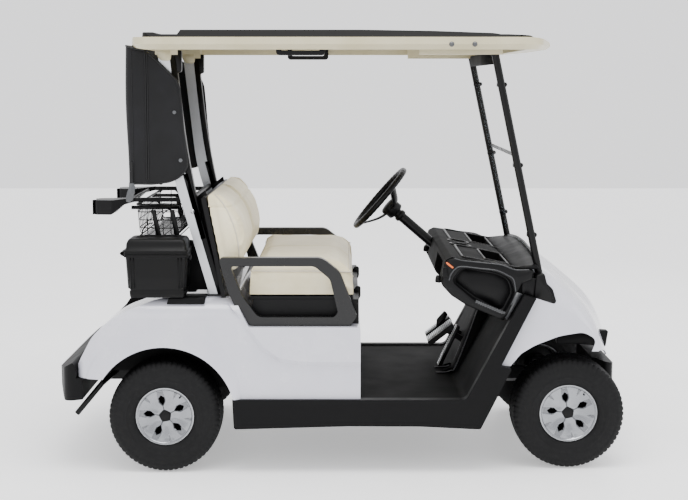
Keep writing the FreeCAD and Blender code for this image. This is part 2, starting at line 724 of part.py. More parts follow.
def rear_body():
    """Rear body shell with open wheel arches, the well's opening and the hatch under the seat."""
    shell = rear_mass(0.0).cut(rear_mass(BODY_WALL))
    reach = 2 * BODY_HALF_WIDTH
    arch = cylinder(V(REAR_AXLE_X, -BODY_HALF_WIDTH - 10.0, WHEEL_R), V(0, 1, 0), ARCH_R, reach + 20.0)
    g = SEAT_GAP
    bay = box(ahead(WELL_REAR) - g, ahead(WELL_FRONT) + g, -WELL_HALF_WIDTH - g, WELL_HALF_WIDTH + g,
              WELL_FLOOR - WELL_WALL - g, FENDER_TOP + 1.0)
    t = SEAT_BASE_WALL
    hatch = box(ahead(SEAT_BASE_REAR + t), ahead(SEAT_FRONT - t - 6.0), -SEAT_HALF_WIDTH + t,
                SEAT_HALF_WIDTH - t, DECK_Z - 20.0, DECK_Z + 1.0)
    return largest(shell.cut(arch).cut(bay).cut(hatch).removeSplitter())


def bag_well():
    """Black tub let into the tail, on two feet along the rails."""
    t = WELL_WALL
    w = WELL_HALF_WIDTH
    low = WELL_FLOOR - t
    tub = box(ahead(WELL_REAR), ahead(WELL_FRONT), -w, w, low, FENDER_TOP)
    bay = box(ahead(WELL_REAR) + t, ahead(WELL_FRONT) - t, -w + t, w - t, WELL_FLOOR, FENDER_TOP + 1.0)
    foot = box(ahead(WELL_REAR) + 10.0, ahead(WELL_FRONT) - 10.0, RAIL_Y - 15.0, RAIL_Y + 15.0,
               RAIL_TOP + KICK_UP, low)
    return joined([tub.common(rear_block(0.0, BODY_HALF_WIDTH - FLARE)).cut(bay)] + both_sides(foot))


def wheel_liner():
    """Black liner of a rear wheelhouse: an arched band with its inner wall (far side)."""
    out = V(0, 1, 0)
    y0 = WELL_HALF_WIDTH + BODY_WALL
    width = BODY_HALF_WIDTH - y0
    start = V(REAR_AXLE_X, y0, WHEEL_R)
    band = cylinder(start, out, ARCH_R + BODY_WALL, width)
    bore = cylinder(start + out * WELL_WALL, out, ARCH_R, width)
    room = box(ahead(-400.0), ahead(400.0), 0.0, BODY_HALF_WIDTH, SILL_TOP + SEAT_GAP, FENDER_TOP)
    liner = band.cut(bore).common(room)
    return largest(liner.common(rear_mass(BODY_WALL + LINER_GAP)))


# Front body


def cowl_sections():
    """Half width and crown line of the front body, from the middle plane out to its side."""
    w = COWL_HALF_WIDTH
    return [
        (0.0, ((-140.0, 864.0), (-40.0, 808.0), (60.0, 728.0), (150.0, 640.0), (208.0, 525.0),
               (228.0, 396.0))),
        (w - 368.0, ((-141.0, 858.0), (-48.0, 803.0), (48.0, 722.0), (132.0, 632.0), (188.0, 520.0),
                     (210.0, 420.0))),
        (w - 148.0, ((-144.0, 835.0), (-65.0, 793.0), (15.0, 725.0), (90.0, 640.0), (140.0, 545.0),
                     (166.0, 460.0))),
        (w - 33.0, ((-148.0, 775.0), (-74.0, 748.0), (-6.0, 702.0), (58.0, 640.0), (104.0, 570.0),
                    (128.0, 497.0))),
        (w, ((-150.0, 718.0), (-80.0, 695.0), (-16.0, 662.0), (40.0, 618.0), (82.0, 572.0),
             (106.0, 497.0))),
    ]


def cowl_section(y, crown):
    """Closed side view of the front body at one width."""
    points = [V(ahead(fore(p[0])), y, p[1]) for p in crown]
    curve = Part.BSplineCurve()
    curve.interpolate(points)
    back = ahead(fore(-340.0))
    foot = points[-1].z
    skirt = min(foot, COWL_SKIRT_Z)
    stops = [points[-1], V(ahead(fore(-60.0)), y, foot), V(ahead(fore(-160.0)), y, skirt),
             V(back, y, skirt), V(back, y, points[0].z), points[0]]
    sides = [Part.LineSegment(a, b) for a, b in zip(stops, stops[1:])]
    return Part.Wire([curve.toShape()] + [s.toShape() for s in sides])


def cowl_mass():
    """The front body's outer form, lofted across its width."""
    half = cowl_sections()
    wires = [cowl_section(-y, crown) for y, crown in reversed(half[1:])]
    wires += [cowl_section(y, crown) for y, crown in half]
    return Part.makeLoft(wires, True, False)


def arch_outline():
    """Side view of the room for a front wheel under the front body."""
    return [
        (fore(-440.0), 150.0), (fore(-440.0), 437.0), (fore(-246.0), 437.0), (fore(-205.0), 487.0, 60.0),
        (fore(-150.0), 521.0, 200.0), (fore(-50.0), 560.0, 200.0), (fore(45.0), 575.0, 60.0),
        (fore(98.0), 545.0, 26.0), (fore(80.0), 496.0, 8.0), (fore(70.0), 150.0),
    ]


def behind_outline(gap):
    """Side view of what lies behind the front body: sills, toe board and dash."""
    g = gap
    return [
        (fore(-440.0), 150.0), (fore(-244.0) + g, 150.0), (fore(-244.0) + g, 432.0 + g),
        (fore(-288.0) + 2 * g, 442.0 + g), (fore(-152.0) + g, TOE_TOP_Z - 14.0 + g),
        (fore(-146.0) + g, 780.0), (fore(-140.0) + g, 950.0), (fore(-440.0), 950.0),
    ]


def front_cowl():
    """Front body shell with open wheel arches, open at the back and below."""
    mass = cowl_mass()
    w = COWL_HALF_WIDTH - COWL_WALL
    t = COWL_WALL + 1.0
    core = moved(mass, -t, 0.0, -t).common(box(ahead(fore(-400.0)), ahead(NOSE), -w, w, 300.0, 900.0))
    wide = BODY_HALF_WIDTH
    shell = mass.cut(core).cut(side_slab(behind_outline(SEAT_GAP), -wide, wide))
    shell = shell.cut(side_slab(arch_outline(), -wide, wide))
    for room in both_sides(strut_line(FRONT_STRUT_R + SEAT_GAP)):
        shell = shell.cut(room)
    return largest(shell)


def front_bumper():
    """Nose bumper on the rails' ends, drawn in behind to clear the steered tyres."""
    side = [
        (RAIL_FRONT, 262.0), (NOSE - 16.0, 262.0, 30.0), (NOSE, 300.0, 30.0), (NOSE, 376.0, 30.0),
        (RAIL_FRONT + 12.0, 394.0, 16.0), (RAIL_FRONT, 394.0),
    ]
    half_plan = [(RAIL_FRONT - 1.0, 190.0), (RAIL_FRONT + 16.0, 196.0, 20.0),
                 (NOSE - 34.0, 276.0, 24.0), (NOSE + 1.0, 150.0, 300.0)]
    beam = side_slab(side, -300.0, 300.0)
    return beam.common(plan_slab(mirrored_outline(half_plan), 200.0, 500.0))


def rear_bumper():
    """Bumper that wraps the tail under the bag well, with a crease along its face."""
    side = [
        (RAIL_REAR, 300.0), (-430.0, 288.0, 30.0), (-REAR_OVERHANG, 320.0, 20.0),
        (-REAR_OVERHANG, 384.0, 10.0), (-442.0, 408.0, 10.0), (-412.0, 424.0, 20.0),
        (-366.0, 452.0, 8.0), (-353.5, 420.0), (-353.5, 386.0), (RAIL_REAR, 386.0),
    ]
    w = BODY_HALF_WIDTH - HIP_INSET
    band = side_slab(side, -w, w)
    plan = [
        (-REAR_OVERHANG - 1.0, -300.0, 300.0), (-400.0, -w, 60.0), (-250.0, -w), (-250.0, w),
        (-400.0, w, 60.0), (-REAR_OVERHANG - 1.0, 300.0, 300.0),
    ]
    band = band.common(plan_slab(plan, 250.0, 600.0))
    tyre_room = cylinder(V(REAR_AXLE_X, -BODY_HALF_WIDTH, WHEEL_R), V(0, 1, 0), ARCH_R + 40.0,
                         2 * BODY_HALF_WIDTH)
    keep = box(ahead(-480.0), ahead(-200.0), -300.0, 300.0, 200.0, 600.0)
    band = band.cut(tyre_room.cut(keep))
    return largest(band.cut(rear_mass(-SEAT_GAP)))


# Cabin


def dash_outline():
    return [
        (fore(-170.0), TOE_TOP_Z + SEAT_GAP), (fore(-156.0), 762.0), (fore(-160.0), 828.0, 8.0),
        (fore(-231.0), 828.0, 30.0), (fore(-280.0), 847.0, 60.0), (fore(-486.0), DASH_TOP, 14.0),
        (fore(-511.0), 864.0, 10.0), (fore(-529.0), 768.0, 30.0), (fore(-486.0), 722.0, 20.0),
        (fore(-428.0), 684.0, 20.0), (fore(-276.0), 621.0, 8.0), (fore(-256.0), 648.0, 8.0),
        (fore(-200.0), TOE_TOP_Z + SEAT_GAP),
    ]


def dash():
    """Moulded dash: two deep glove boxes, cup wells on top and a hollow in each side."""
    w = DASH_HALF_WIDTH
    body = side_slab(dash_outline(), -w, w)
    pocket = [
        (fore(-550.0), 745.0), (fore(-550.0), 850.0), (fore(-460.0), 844.0, 10.0),
        (fore(-330.0), 828.0, 20.0), (fore(-330.0), 735.0, 20.0),
    ]
    for y0, y1 in GLOVE_BOXES:
        body = body.cut(side_slab(pocket, y0, y1))
    recess = [
        (fore(-450.0), 838.0, 16.0), (fore(-307.0), 822.0, 30.0), (fore(-246.0), 790.0, 30.0),
        (fore(-228.0), 731.0, 16.0), (fore(-272.0), 644.0, 8.0), (fore(-397.0), 699.0, 20.0),
        (fore(-491.0), 784.0, 20.0),
    ]
    side = side_slab(recess, w - DASH_RECESS, w + 1.0)
    body = body.cut(side).cut(mirrored(side))
    for y in CUP_YS:
        cup = V(ahead(fore(CUP_LEAD)), y, DASH_TOP - 14.0 - CUP_DEPTH)
        body = body.cut(cylinder(cup, V(0, 0, 1), CUP_R, 2 * CUP_DEPTH))
    tray = [
        (fore(-340.0), 804.0, 14.0), (fore(-340.0), 880.0), (fore(-250.0), 860.0),
        (fore(-256.0), 800.0, 14.0),
    ]
    for y0, y1 in DASH_TRAYS:
        body = body.cut(side_slab(tray, y0, y1))
    hole = Part.makeCylinder(COLUMN_R + SEAT_GAP, 420.0, column_point(0.0), column_axis() * -1)
    return body.cut(hole)


def column_axis():
    """Unit direction of the steering column, from the rack up towards the driver."""
    tilt = math.radians(COLUMN_TILT)
    return V(-math.cos(tilt), 0, math.sin(tilt))


def column_point(distance):
    """A point on the steering axis, that far towards the driver from the wheel's hub."""
    return V(ahead(fore(WHEEL_HUB_LEAD)), COLUMN_Y, WHEEL_HUB_Z) + column_axis() * distance


def steering_column():
    """Column tube from below the wheel's hub into the dash."""
    tube = Part.makeCylinder(COLUMN_R, 340.0, column_point(-20.0), column_axis() * -1)
    bore = Part.makeCylinder(SHAFT_R + JOINT_GAP, 342.0, column_point(-19.0), column_axis() * -1)
    return tube.cut(bore)


def steering_wheel():
    """Dished three-spoke wheel on its shaft."""
    axis = column_axis()
    rim_centre = column_point(WHEEL_DISH)
    ring = Part.makeTorus(WHEEL_RIM_R, WHEEL_GRIP_R, rim_centre, axis)
    hub = Part.makeCylinder(38.0, 36.0, column_point(-18.0), axis)
    shaft = Part.makeCylinder(SHAFT_R, 300.0, column_point(0.0), axis * -1)
    parts = [ring, hub, shaft]
    across = V(0, 1, 0)
    up = axis.cross(across)
    for angle in (90.0, 210.0, 330.0):
        a = math.radians(angle)
        out = across * math.cos(a) + up * math.sin(a)
        parts.append(rod(column_point(8.0) + out * 20.0, rim_centre + out * WHEEL_RIM_R, 9.0))
    return joined(parts)


def pedals():
    """Brake pedal with its lock pad, and the accelerator, each on its arm from the toe board."""
    pad_outline = [(fore(-536.0), 400.0), (fore(-527.0), 378.0), (fore(-414.0), 466.0),
                   (fore(-427.0), 484.0)]
    arm_outline = [(fore(-460.0), 440.0), (fore(-443.0), 458.0), (fore(-340.0), 396.0),
                   (fore(-350.0), 372.0)]
    parts = []
    for y, width in ((180.0, 110.0), (330.0, 70.0)):
        pad = side_slab(pad_outline, y - width / 2, y + width / 2)
        arm = side_slab(arm_outline, y - 8.0, y + 8.0)
        parts.append(joined([pad, arm]))
    floor = floor_pan()
    return [largest(p.cut(floor)) for p in parts]


# Seat


def seat_base():
    """Black ring under the seat with two hinge ears at its front."""
    x0 = ahead(SEAT_BASE_REAR)
    x1 = ahead(SEAT_FRONT - 6.0)
    w = SEAT_HALF_WIDTH
    t = SEAT_BASE_WALL
    ring = box(x0, x1, -w, w, DECK_Z, SEAT_BASE_TOP)
    ring = ring.cut(box(x0 + t, x1 - t, -w + t, w - t, DECK_Z - 1.0, SEAT_BASE_TOP + 1.0))
    r = HINGE_EAR_R
    y = SEAT_PIN_Y
    ear = side_slab([
        (SEAT_HINGE_X - r, SEAT_BASE_TOP - 40.0), (SEAT_HINGE_X - r, SEAT_HINGE_Z + r, r - 0.1),
        (SEAT_HINGE_X + r, SEAT_HINGE_Z + r, r - 0.1), (SEAT_HINGE_X + r, SEAT_BASE_TOP - 20.0, 8.0),
        (SEAT_HINGE_X, SEAT_BASE_TOP - 40.0),
    ], y - HINGE_PLATE_T, y)
    pin = cylinder(V(ahead(SEAT_HINGE_X), y - HINGE_PLATE_T, SEAT_HINGE_Z), V(0, 1, 0),
                   SEAT_HINGE_R, 2 * HINGE_PLATE_T + 2.0)
    return joined([ring] + both_sides(joined([ear, pin])))


def cushion_tray():
    """Board under the cushion with a hinge lug at each side of its front edge."""
    w = SEAT_HALF_WIDTH - 4.0
    top = SEAT_BASE_TOP + TRAY_T
    low = SEAT_BASE_TOP + SEAT_GAP
    board = box(ahead(CUSHION_REAR), ahead(CUSHION_FRONT - 8.0), -w, w, low, top)
    r = HINGE_EAR_R
    y = SEAT_PIN_Y + SEAT_GAP
    lug = side_slab([
        (CUSHION_FRONT - 40.0, low), (CUSHION_FRONT - 40.0, top), (CUSHION_FRONT + SEAT_GAP, top),
        (SEAT_HINGE_X - r, SEAT_HINGE_Z + r, r - 4.0), (SEAT_HINGE_X + r, SEAT_HINGE_Z + r, r - 0.1),
        (SEAT_HINGE_X + r, SEAT_HINGE_Z - r, r - 0.1), (SEAT_HINGE_X - r, low),
    ], y, y + HINGE_PLATE_T)
    hole = cylinder(V(ahead(SEAT_HINGE_X), y - 1.0, SEAT_HINGE_Z), V(0, 1, 0),
                    SEAT_HINGE_R + JOINT_GAP, HINGE_PLATE_T + 2.0)
    return joined([board] + both_sides(lug.cut(hole)))


def seat_cushion():
    w = SEAT_HALF_WIDTH - 4.0
    pad = box(ahead(CUSHION_REAR), ahead(CUSHION_FRONT), -w, w, SEAT_BASE_TOP + TRAY_T, CUSHION_TOP)
    return pad.makeFillet(26.0, [e for e in pad.Edges if e.BoundBox.ZMin > CUSHION_TOP - 1.0])


def back_pad():
    """One backrest pad (far side), leaning back against the shell."""
    points = [
        (166.0, 1132.0, 24.0), (238.0, 1130.0, 44.0), (304.0, 1020.0, 160.0), (328.0, 925.0, 70.0),
        (316.0, 850.0, 24.0), (292.0, 808.0, 14.0), (228.0, 808.0, 10.0), (217.0, 868.0),
    ]
    return side_slab(points, BACK_SPLIT / 2, SEAT_HALF_WIDTH - 10.0)


def back_shell():
    """Moulded shell behind both backrests, standing on the deck."""
    points = [
        (151.0, 1110.0, 6.0), (169.8, 1112.0, 2.0), (216.7, 868.0), (227.7, 808.0),
        (246.0, FENDER_TOP), (229.0, FENDER_TOP), (200.0, 868.0),
    ]
    return side_slab(points, -SEAT_HALF_WIDTH + 6.0, SEAT_HALF_WIDTH - 6.0)


def hip_restraint():
    """Bent side frame beside the seat (far side)."""
    y0 = HIP_OUTER - HIP_T
    outer = [
        (223.0, HIP_TOP, 14.0), (636.0, HIP_TOP, 60.0), (708.0, 820.0, 60.0), (776.0, 640.0, 14.0),
        (748.0, DECK_Z, 14.0), (350.0, DECK_Z, 50.0), (305.0, 640.0, 30.0), (262.0, 735.0, 20.0),
    ]
    low = DECK_Z + HIP_BAR + 2.0
    inner = [
        (270.0, HIP_TOP - HIP_BAR, 10.0), (606.0, HIP_TOP - HIP_BAR, 40.0), (668.0, 790.0, 40.0),
        (700.0, low + 19.0, 16.0), (684.0, low, 14.0), (380.0, low, 40.0), (318.0, 720.0, 30.0),
    ]
    frame = side_slab(outer, y0, y0 + HIP_T)
    frame = frame.cut(side_slab(inner, y0 - 1.0, y0 + HIP_T + 1.0))
    return largest(frame.cut(rear_mass(-SEAT_GAP)))


# Roof


def rear_strut():
    """Curved rear strut from the fender deck to the roof (far side)."""
    y0 = REAR_STRUT_Y - REAR_STRUT_W / 2
    d = REAR_STRUT_D
    points = [
        (222.0 - d, FENDER_TOP), (222.0, FENDER_TOP), (151.0, 951.0, 500.0), (88.0, 1190.0, 900.0),
        (38.0, BRACKET_BOTTOM), (26.0 - d, BRACKET_BOTTOM), (80.0 - d, 1190.0, 900.0),
        (151.0 - d, 951.0, 500.0),
    ]
    return side_slab(points, y0, y0 + REAR_STRUT_W)


def front_strut_at(z):
    """Station of the front strut's centre at a height."""
    share = (z - TOE_TOP_Z) / (BRACKET_BOTTOM - TOE_TOP_Z)
    foot = fore(-113.0)
    return foot + (fore(-317.0) - foot) * share


def strut_line(radius):
    """Round bar along the far front strut, longer than the strut at both ends."""
    foot = V(ahead(front_strut_at(TOE_TOP_Z - 60.0)), FRONT_STRUT_Y, TOE_TOP_Z - 60.0)
    head = V(ahead(front_strut_at(ROOF_TOP)), FRONT_STRUT_Y, ROOF_TOP)
    return rod(foot, head, radius)


def front_struts():
    """Two leaning posts with the header bar that joins them."""
    trim = box(ahead(fore(-450.0)), ahead(NOSE), 0.0, BODY_HALF_WIDTH, TOE_TOP_Z + 10.0, BRACKET_BOTTOM)
    post = strut_line(FRONT_STRUT_R).common(trim)
    z = BRACKET_BOTTOM - 22.0
    bar = cylinder(V(ahead(front_strut_at(z)), -FRONT_STRUT_Y, z), V(0, 1, 0), 12.0,
                   2 * FRONT_STRUT_Y)
    return joined([post, mirrored(post), bar])


def windshield():
    """Two clear panes between the front struts."""
    parts = []
    w = FRONT_STRUT_Y - FRONT_STRUT_R - SEAT_GAP
    t = GLASS_T / 2
    split = GLASS_SPLIT_Z
    for z0, z1 in ((GLASS_LOW_Z, split - GLASS_GAP / 2), (split + GLASS_GAP / 2, GLASS_HIGH_Z)):
        pane = [
            (front_strut_at(z0) - t, z0), (front_strut_at(z0) + t, z0),
            (front_strut_at(z1) + t, z1), (front_strut_at(z1) - t, z1),
        ]
        parts.append(side_slab(pane, -w, w))
    return parts


def roof_plan(inset):
    i = inset
    w = ROOF_HALF_WIDTH - i
    front = fore(ROOF_FRONT_LEAD)
    return [
        (ROOF_REAR + 60.0 + i, -w, 60.0), (front - ROOF_BOW - i, -w, 110.0),
        (front - i, -w / 3, 600.0), (front - i, w / 3, 600.0),
        (front - ROOF_BOW - i, w, 110.0), (ROOF_REAR + 60.0 + i, w, 60.0),
        (ROOF_REAR + i, w * 0.4, 300.0), (ROOF_REAR + i, -w * 0.4, 300.0),
    ]


def roof_side():
    """Side view of the roof's tray, drawn out to a thin lip at both ends."""
    front = fore(ROOF_FRONT_LEAD)
    low = ROOF_BOTTOM
    high = ROOF_EDGE_TOP
    return [
        (ROOF_REAR - 1.0, high - 14.0), (ROOF_REAR + 14.0, high, 20.0), (front - 130.0, high, 400.0),
        (front - 20.0, high - 12.0, 30.0), (front + 1.0, high - 26.0), (front - 30.0, low + 5.0, 30.0),
        (front - 130.0, low, 200.0), (ROOF_REAR + 100.0, low, 200.0),
        (ROOF_REAR + 22.0, low + 14.0, 30.0),
    ]


def roof_tray():
    """The roof tray's outer form, with a bevelled lower edge."""
    w = ROOF_HALF_WIDTH
    tray = plan_slab(roof_plan(0.0), ROOF_BOTTOM, ROOF_EDGE_TOP)
    tray = tray.makeChamfer(ROOF_BEVEL, [e for e in tray.Edges if e.BoundBox.ZMax < ROOF_BOTTOM + 1.0])
    return tray.common(side_slab(roof_side(), -w - 1.0, w + 1.0))


def roof_edge():
    """Beige lower tray of the roof, open below between its lips."""
    w = ROOF_HALF_WIDTH
    low = ROOF_BOTTOM - 1.0
    well = plan_slab(roof_plan(ROOF_INSET), low, ROOF_EDGE_TOP - ROOF_WALL)
    flat = box(ahead(ROOF_REAR + 80.0), ahead(fore(ROOF_FRONT_LEAD) - 150.0), -w, w, low, ROOF_EDGE_TOP)
    return roof_tray().cut(well.common(flat))


def crown_section(inset, low, high):
    """Cross section of one layer of the dark top, with leaning sides."""
    w = ROOF_HALF_WIDTH - inset
    rise = high - low
    half = [(-w, low), (-w + rise, high - 4.0, 12.0), (-w / 2, high, 600.0)]
    return half + [(-p[0],) + tuple(p[1:]) for p in reversed(half)]


def roof_top():
    """Dark top of the roof: a low ledge with a bead at its rear, and the crown let into it."""
    base = ROOF_EDGE_TOP
    ledge = base + ROOF_LEDGE_H
    rear = ROOF_REAR + 74.0
    front = fore(ROOF_FRONT_LEAD) - 110.0
    w = ROOF_HALF_WIDTH
    low_side = [
        (rear, base), (rear + 14.0, ledge + 6.0, 14.0), (rear + 45.0, ledge + 9.0, 30.0),
        (rear + 74.0, ledge - 3.0, 10.0), (front - 110.0, ledge - 3.0, 300.0),
        (front - 20.0, base + 8.0, 30.0), (front, base),
    ]
    high_side = [
        (rear + 138.0, base + 1.0), (rear + 158.0, ROOF_TOP - 2.0, 12.0), (560.0, ROOF_TOP, 3000.0),
        (front - 400.0, ROOF_TOP - 9.0, 2000.0), (front - 150.0, ledge + 3.0, 200.0),
        (front - 90.0, base + 1.0),
    ]
    parts = []
    for side, inset, top in ((low_side, ROOF_INSET, ledge + 9.0), (high_side, CROWN_INSET, ROOF_TOP)):
        layer = side_slab(side, -w, w).common(plan_slab(roof_plan(inset), base, ROOF_TOP + 1.0))
        parts.append(layer.common(section_slab(crown_section(inset, base, top), rear - 1.0, front + 1.0)))
    return joined(parts)


def roof_brackets():
    """Beige pads that bolt the struts to the tray."""
    high = ROOF_EDGE_TOP - ROOF_WALL
    b = BRACKET_HALF
    y = FRONT_STRUT_Y
    front = box(ahead(fore(-617.0)), ahead(fore(-290.0)), y - b, y + b, BRACKET_BOTTOM, high)
    y = REAR_STRUT_Y
    rear = box(ahead(-30.0), ahead(60.0), y - b, y + b, BRACKET_BOTTOM, high)
    return both_sides(front) + both_sides(rear)


def grab_handle():
    """Black bent grip under the roof's rim over the seat (far side)."""
    y = ROOF_HALF_WIDTH - ROOF_INSET - GRIP_R - 4.0
    low = BRACKET_BOTTOM - 4.0
    high = ROOF_EDGE_TOP - ROOF_WALL
    grip = [(458.0, high), (458.0, low, 14.0), (650.0, low, 14.0), (650.0, high),
            (630.0, high), (630.0, low + 18.0, 6.0), (478.0, low + 18.0, 6.0), (478.0, high)]
    return side_slab(grip, y - GRIP_R, y + GRIP_R)


# Bag end


def bag_cover():
    """Vinyl cover hung from the roof behind the struts: a back panel and two side panels."""
    w = REAR_STRUT_Y + REAR_STRUT_W / 2 + COVER_SIDE_GAP
    t = COVER_SHEET_T
    rear = BAG_COVER_REAR
    top = ROOF_BOTTOM + COVER_RISE
    back = box(ahead(rear), ahead(rear + t), -w - t, w + t, BAG_COVER_BOTTOM, top)
    side = side_slab([
        (rear, BAG_COVER_BOTTOM), (rear, top), (rear + 60.0, top), (rear + 90.0, ROOF_BOTTOM),
        (rear + 208.0, 1577.0, 60.0),
        (rear + 248.0, 1230.0, 60.0), (rear + 212.0, BAG_COVER_BOTTOM, 40.0),
    ], w, w + t)
    cover = joined([back, side, mirrored(side)])
    return largest(cover.cut(moved(roof_tray(), z=-SEAT_GAP)))


def bag_rack():
    """Cross bar between the rear struts with an arm back to each of the two bag rests."""
    inner = REAR_STRUT_Y - REAR_STRUT_W / 2
    root = RACK_ROOT
    arm = RACK_ARM_W / 2
    z = RACK_BAR_Z
    parts = [cylinder(V(ahead(root), -inner, z), V(0, 1, 0), RACK_BAR_R, 2 * inner)]
    parts.append(cylinder(V(ahead(root - 263.0), -300.0, z - 4.0), V(0, 1, 0), RACK_BRACE_R, 600.0))
    side = [
        (root - 235.0, z - arm + 1.0), (root - 235.0, z + arm), (root - 320.0, z + 2.0),
        (root - 440.0, z + 2.0),
        (root - 440.0, z - 58.0), (root - 326.0, z - 58.0, 18.0), (root - 280.0, z - arm - 10.0, 20.0),
    ]
    w = REST_HALF_WIDTH
    for y in RACK_ARM_YS:
        plan = [
            (root - 234.0, y - arm), (root - 326.0, y - w, 20.0), (root - 410.0, y - w + 8.0, 20.0),
            (root - 380.0, y, 90.0), (root - 410.0, y + w - 8.0, 20.0), (root - 326.0, y + w, 20.0),
            (root - 234.0, y + arm),
        ]
        rest = side_slab(side, y - 2 * w, y + 2 * w).common(plan_slab(plan, z - 100.0, z + 100.0))
        parts.append(rest)
        parts.append(box(ahead(root - 250.0), ahead(root), y - arm + 1.0, y + arm - 1.0, z - arm,
                         z + arm - 1.0))
    return joined(parts)


def basket():
    """Open basket hung under the rack's arms."""
    w = BASKET_HALF_WIDTH
    x0 = ahead(-130.0)
    x1 = ahead(60.0)
    z1 = RACK_BAR_Z - RACK_ARM_W / 2 - SEAT_GAP
    z0 = z1 - BASKET_DEPTH
    t = BASKET_WALL
    tub = box(x0, x1, -w, w, z0, z1)
    return tub.cut(box(x0 + t, x1 - t, -w + t, w - t, z0 + t, z1 + 1.0))


def lid_axis(y):
    """A point on the cooler lid's hinge line at a width."""
    return V(ahead(BOX_REAR - 2 * LID_PIN_R - BOX_LIP - 2.0), y, BOX_LID_Z)


def lid_knuckle(y0, y1, radius):
    return cylinder(lid_axis(y0), V(0, 1, 0), radius, y1 - y0)


def cooler_box():
    """Open-topped box on its foot plate over the near fender, with hinge knuckles behind."""
    x0 = ahead(BOX_REAR)
    x1 = x0 + BOX_LENGTH
    y0 = -BOX_NEAR
    y1 = y0 + BOX_WIDTH
    z0 = FENDER_TOP + BOX_FOOT_T
    t = BOX_WALL
    tub = box(x0, x1, y0, y1, z0, BOX_LID_Z)
    bay = box(x0 + t, x1 - t, y0 + t, y1 - t, z0 + t, BOX_LID_Z + 1.0)
    foot = box(x0 + 20.0, x1 - 20.0, y1 - 60.0, y1 - 10.0, FENDER_TOP, z0)
    parts = [tub.cut(bay), foot]
    r = 2 * LID_PIN_R
    for a, b in ((y0 + 20.0, y0 + 50.0), (y1 - 50.0, y1 - 20.0)):
        parts.append(lid_knuckle(a, b, r))
        parts.append(box(lid_axis(a).x, x0, a, b, BOX_LID_Z - r, BOX_LID_Z))
    parts.append(lid_knuckle(y0 + 20.0, y1 - 20.0, LID_PIN_R))
    return joined(parts)


def cooler_lid():
    """Lid with its hinge knuckle behind the box's rear edge."""
    x0 = ahead(BOX_REAR) - BOX_LIP
    x1 = x0 + BOX_LENGTH + 2 * BOX_LIP
    y0 = -BOX_NEAR - BOX_LIP
    y1 = y0 + BOX_WIDTH + 2 * BOX_LIP
    z0 = BOX_LID_Z + SEAT_GAP
    lid = box(x0, x1, y0, y1, z0, BOX_TOP)
    lid = lid.makeFillet(16.0, [e for e in lid.Edges if e.BoundBox.ZMin > BOX_TOP - 1.0])
    w = 2 * BOX_WALL
    lid = lid.cut(box(x0 + w, x1 - w, y0 + w, y1 - w, z0 - 1.0, BOX_TOP - w))
    a = y0 + BOX_LIP + 50.0 + SEAT_GAP
    b = y1 - BOX_LIP - 50.0 - SEAT_GAP
    r = 2 * LID_PIN_R
    web = box(lid_axis(a).x, x0 + 2.0, a, b, z0, z0 + r - 1.0)
    solid = joined([lid, lid_knuckle(a, b, r), web])
    return solid.cut(lid_knuckle(a - 1.0, b + 1.0, LID_PIN_R + JOINT_GAP))


def export(name, parts):
    shape = parts[0] if len(parts) == 1 else Part.makeCompound(parts)
    shape.exportStep(os.path.join("parts", name + ".step"))


def export_chassis():
    export("frame_rails", both_sides(frame_rail()))
    export("cross_members", cross_members())
    export("engine", [engine()])
    export("exhaust_pipe", [exhaust_pipe()])
    export("rear_axle", [rear_axle()])
    export("rear_springs", springs())
    export("front_axle", [front_axle()])
    export("knuckle_left", [knuckle()])
    export("knuckle_right", [mirrored(knuckle())])
    export("tie_rod", [tie_rod()])
    wheel = rim()
    corners = (("front_left", FRONT_AXLE_X, FRONT_WHEEL_Y), ("front_right", FRONT_AXLE_X, -FRONT_WHEEL_Y),
               ("rear_left", REAR_AXLE_X, REAR_WHEEL_Y), ("rear_right", REAR_AXLE_X, -REAR_WHEEL_Y))
    for name, x, y in corners:
        export("tyre_" + name, [tyre(x, y)])
        export("rim_" + name, [wheel_at(wheel, x, y)])


def export_body():
    export("floor_pan", [floor_pan()])
    export("sill_left", [sill()])
    export("sill_right", [mirrored(sill())])
    export("rear_body", [rear_body()])
    export("bag_well", [bag_well()])
    export("wheel_liners", both_sides(wheel_liner()))
    export("front_cowl", [front_cowl()])
    export("front_bumper", [front_bumper()])
    export("rear_bumper", [rear_bumper()])


def export_cabin():
    export("dash", [dash()])
    export("steering_column", [steering_column()])
    export("steering_wheel", [steering_wheel()])
    export("pedals", pedals())
    export("seat_base", [seat_base()])
    export("cushion_tray", [cushion_tray()])
    export("seat_cushion", [seat_cushion()])
    export("seat_back_left", [back_pad()])
    export("seat_back_right", [mirrored(back_pad())])
    export("seat_back_shell", [back_shell()])
    export("hip_restraint_left", [hip_restraint()])
    export("hip_restraint_right", [mirrored(hip_restraint())])


def export_top():
    export("rear_strut_left", [rear_strut()])
    export("rear_strut_right", [mirrored(rear_strut())])
    export("front_struts", [front_struts()])
    export("windshield", windshield())
    export("roof_edge", [roof_edge()])
    export("roof_top", [roof_top()])
    export("roof_brackets", roof_brackets())
    export("grab_handles", both_sides(grab_handle()))
    export("bag_cover", [bag_cover()])
    export("bag_rack", [bag_rack()])
    export("basket", [basket()])
    export("cooler_box", [cooler_box()])
    export("cooler_lid", [cooler_lid()])


def main():
    os.makedirs("parts", exist_ok=True)
    export_chassis()
    export_body()
    export_cabin()
    export_top()


main()
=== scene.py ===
# %% [markdown]
# # A two-seat golf cart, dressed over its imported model
# They hold every real measure, so nothing here moves or resizes them. This script gives each
# surface its finish, and makes the parts that a plain solid can't show: treaded tyres, swollen
# cushions, a hung bag cover, a wire basket and small fittings.

# %% Load the frame
import json
import math

import bpy
import numpy as np
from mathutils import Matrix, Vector
from mathutils.bvhtree import BVHTree


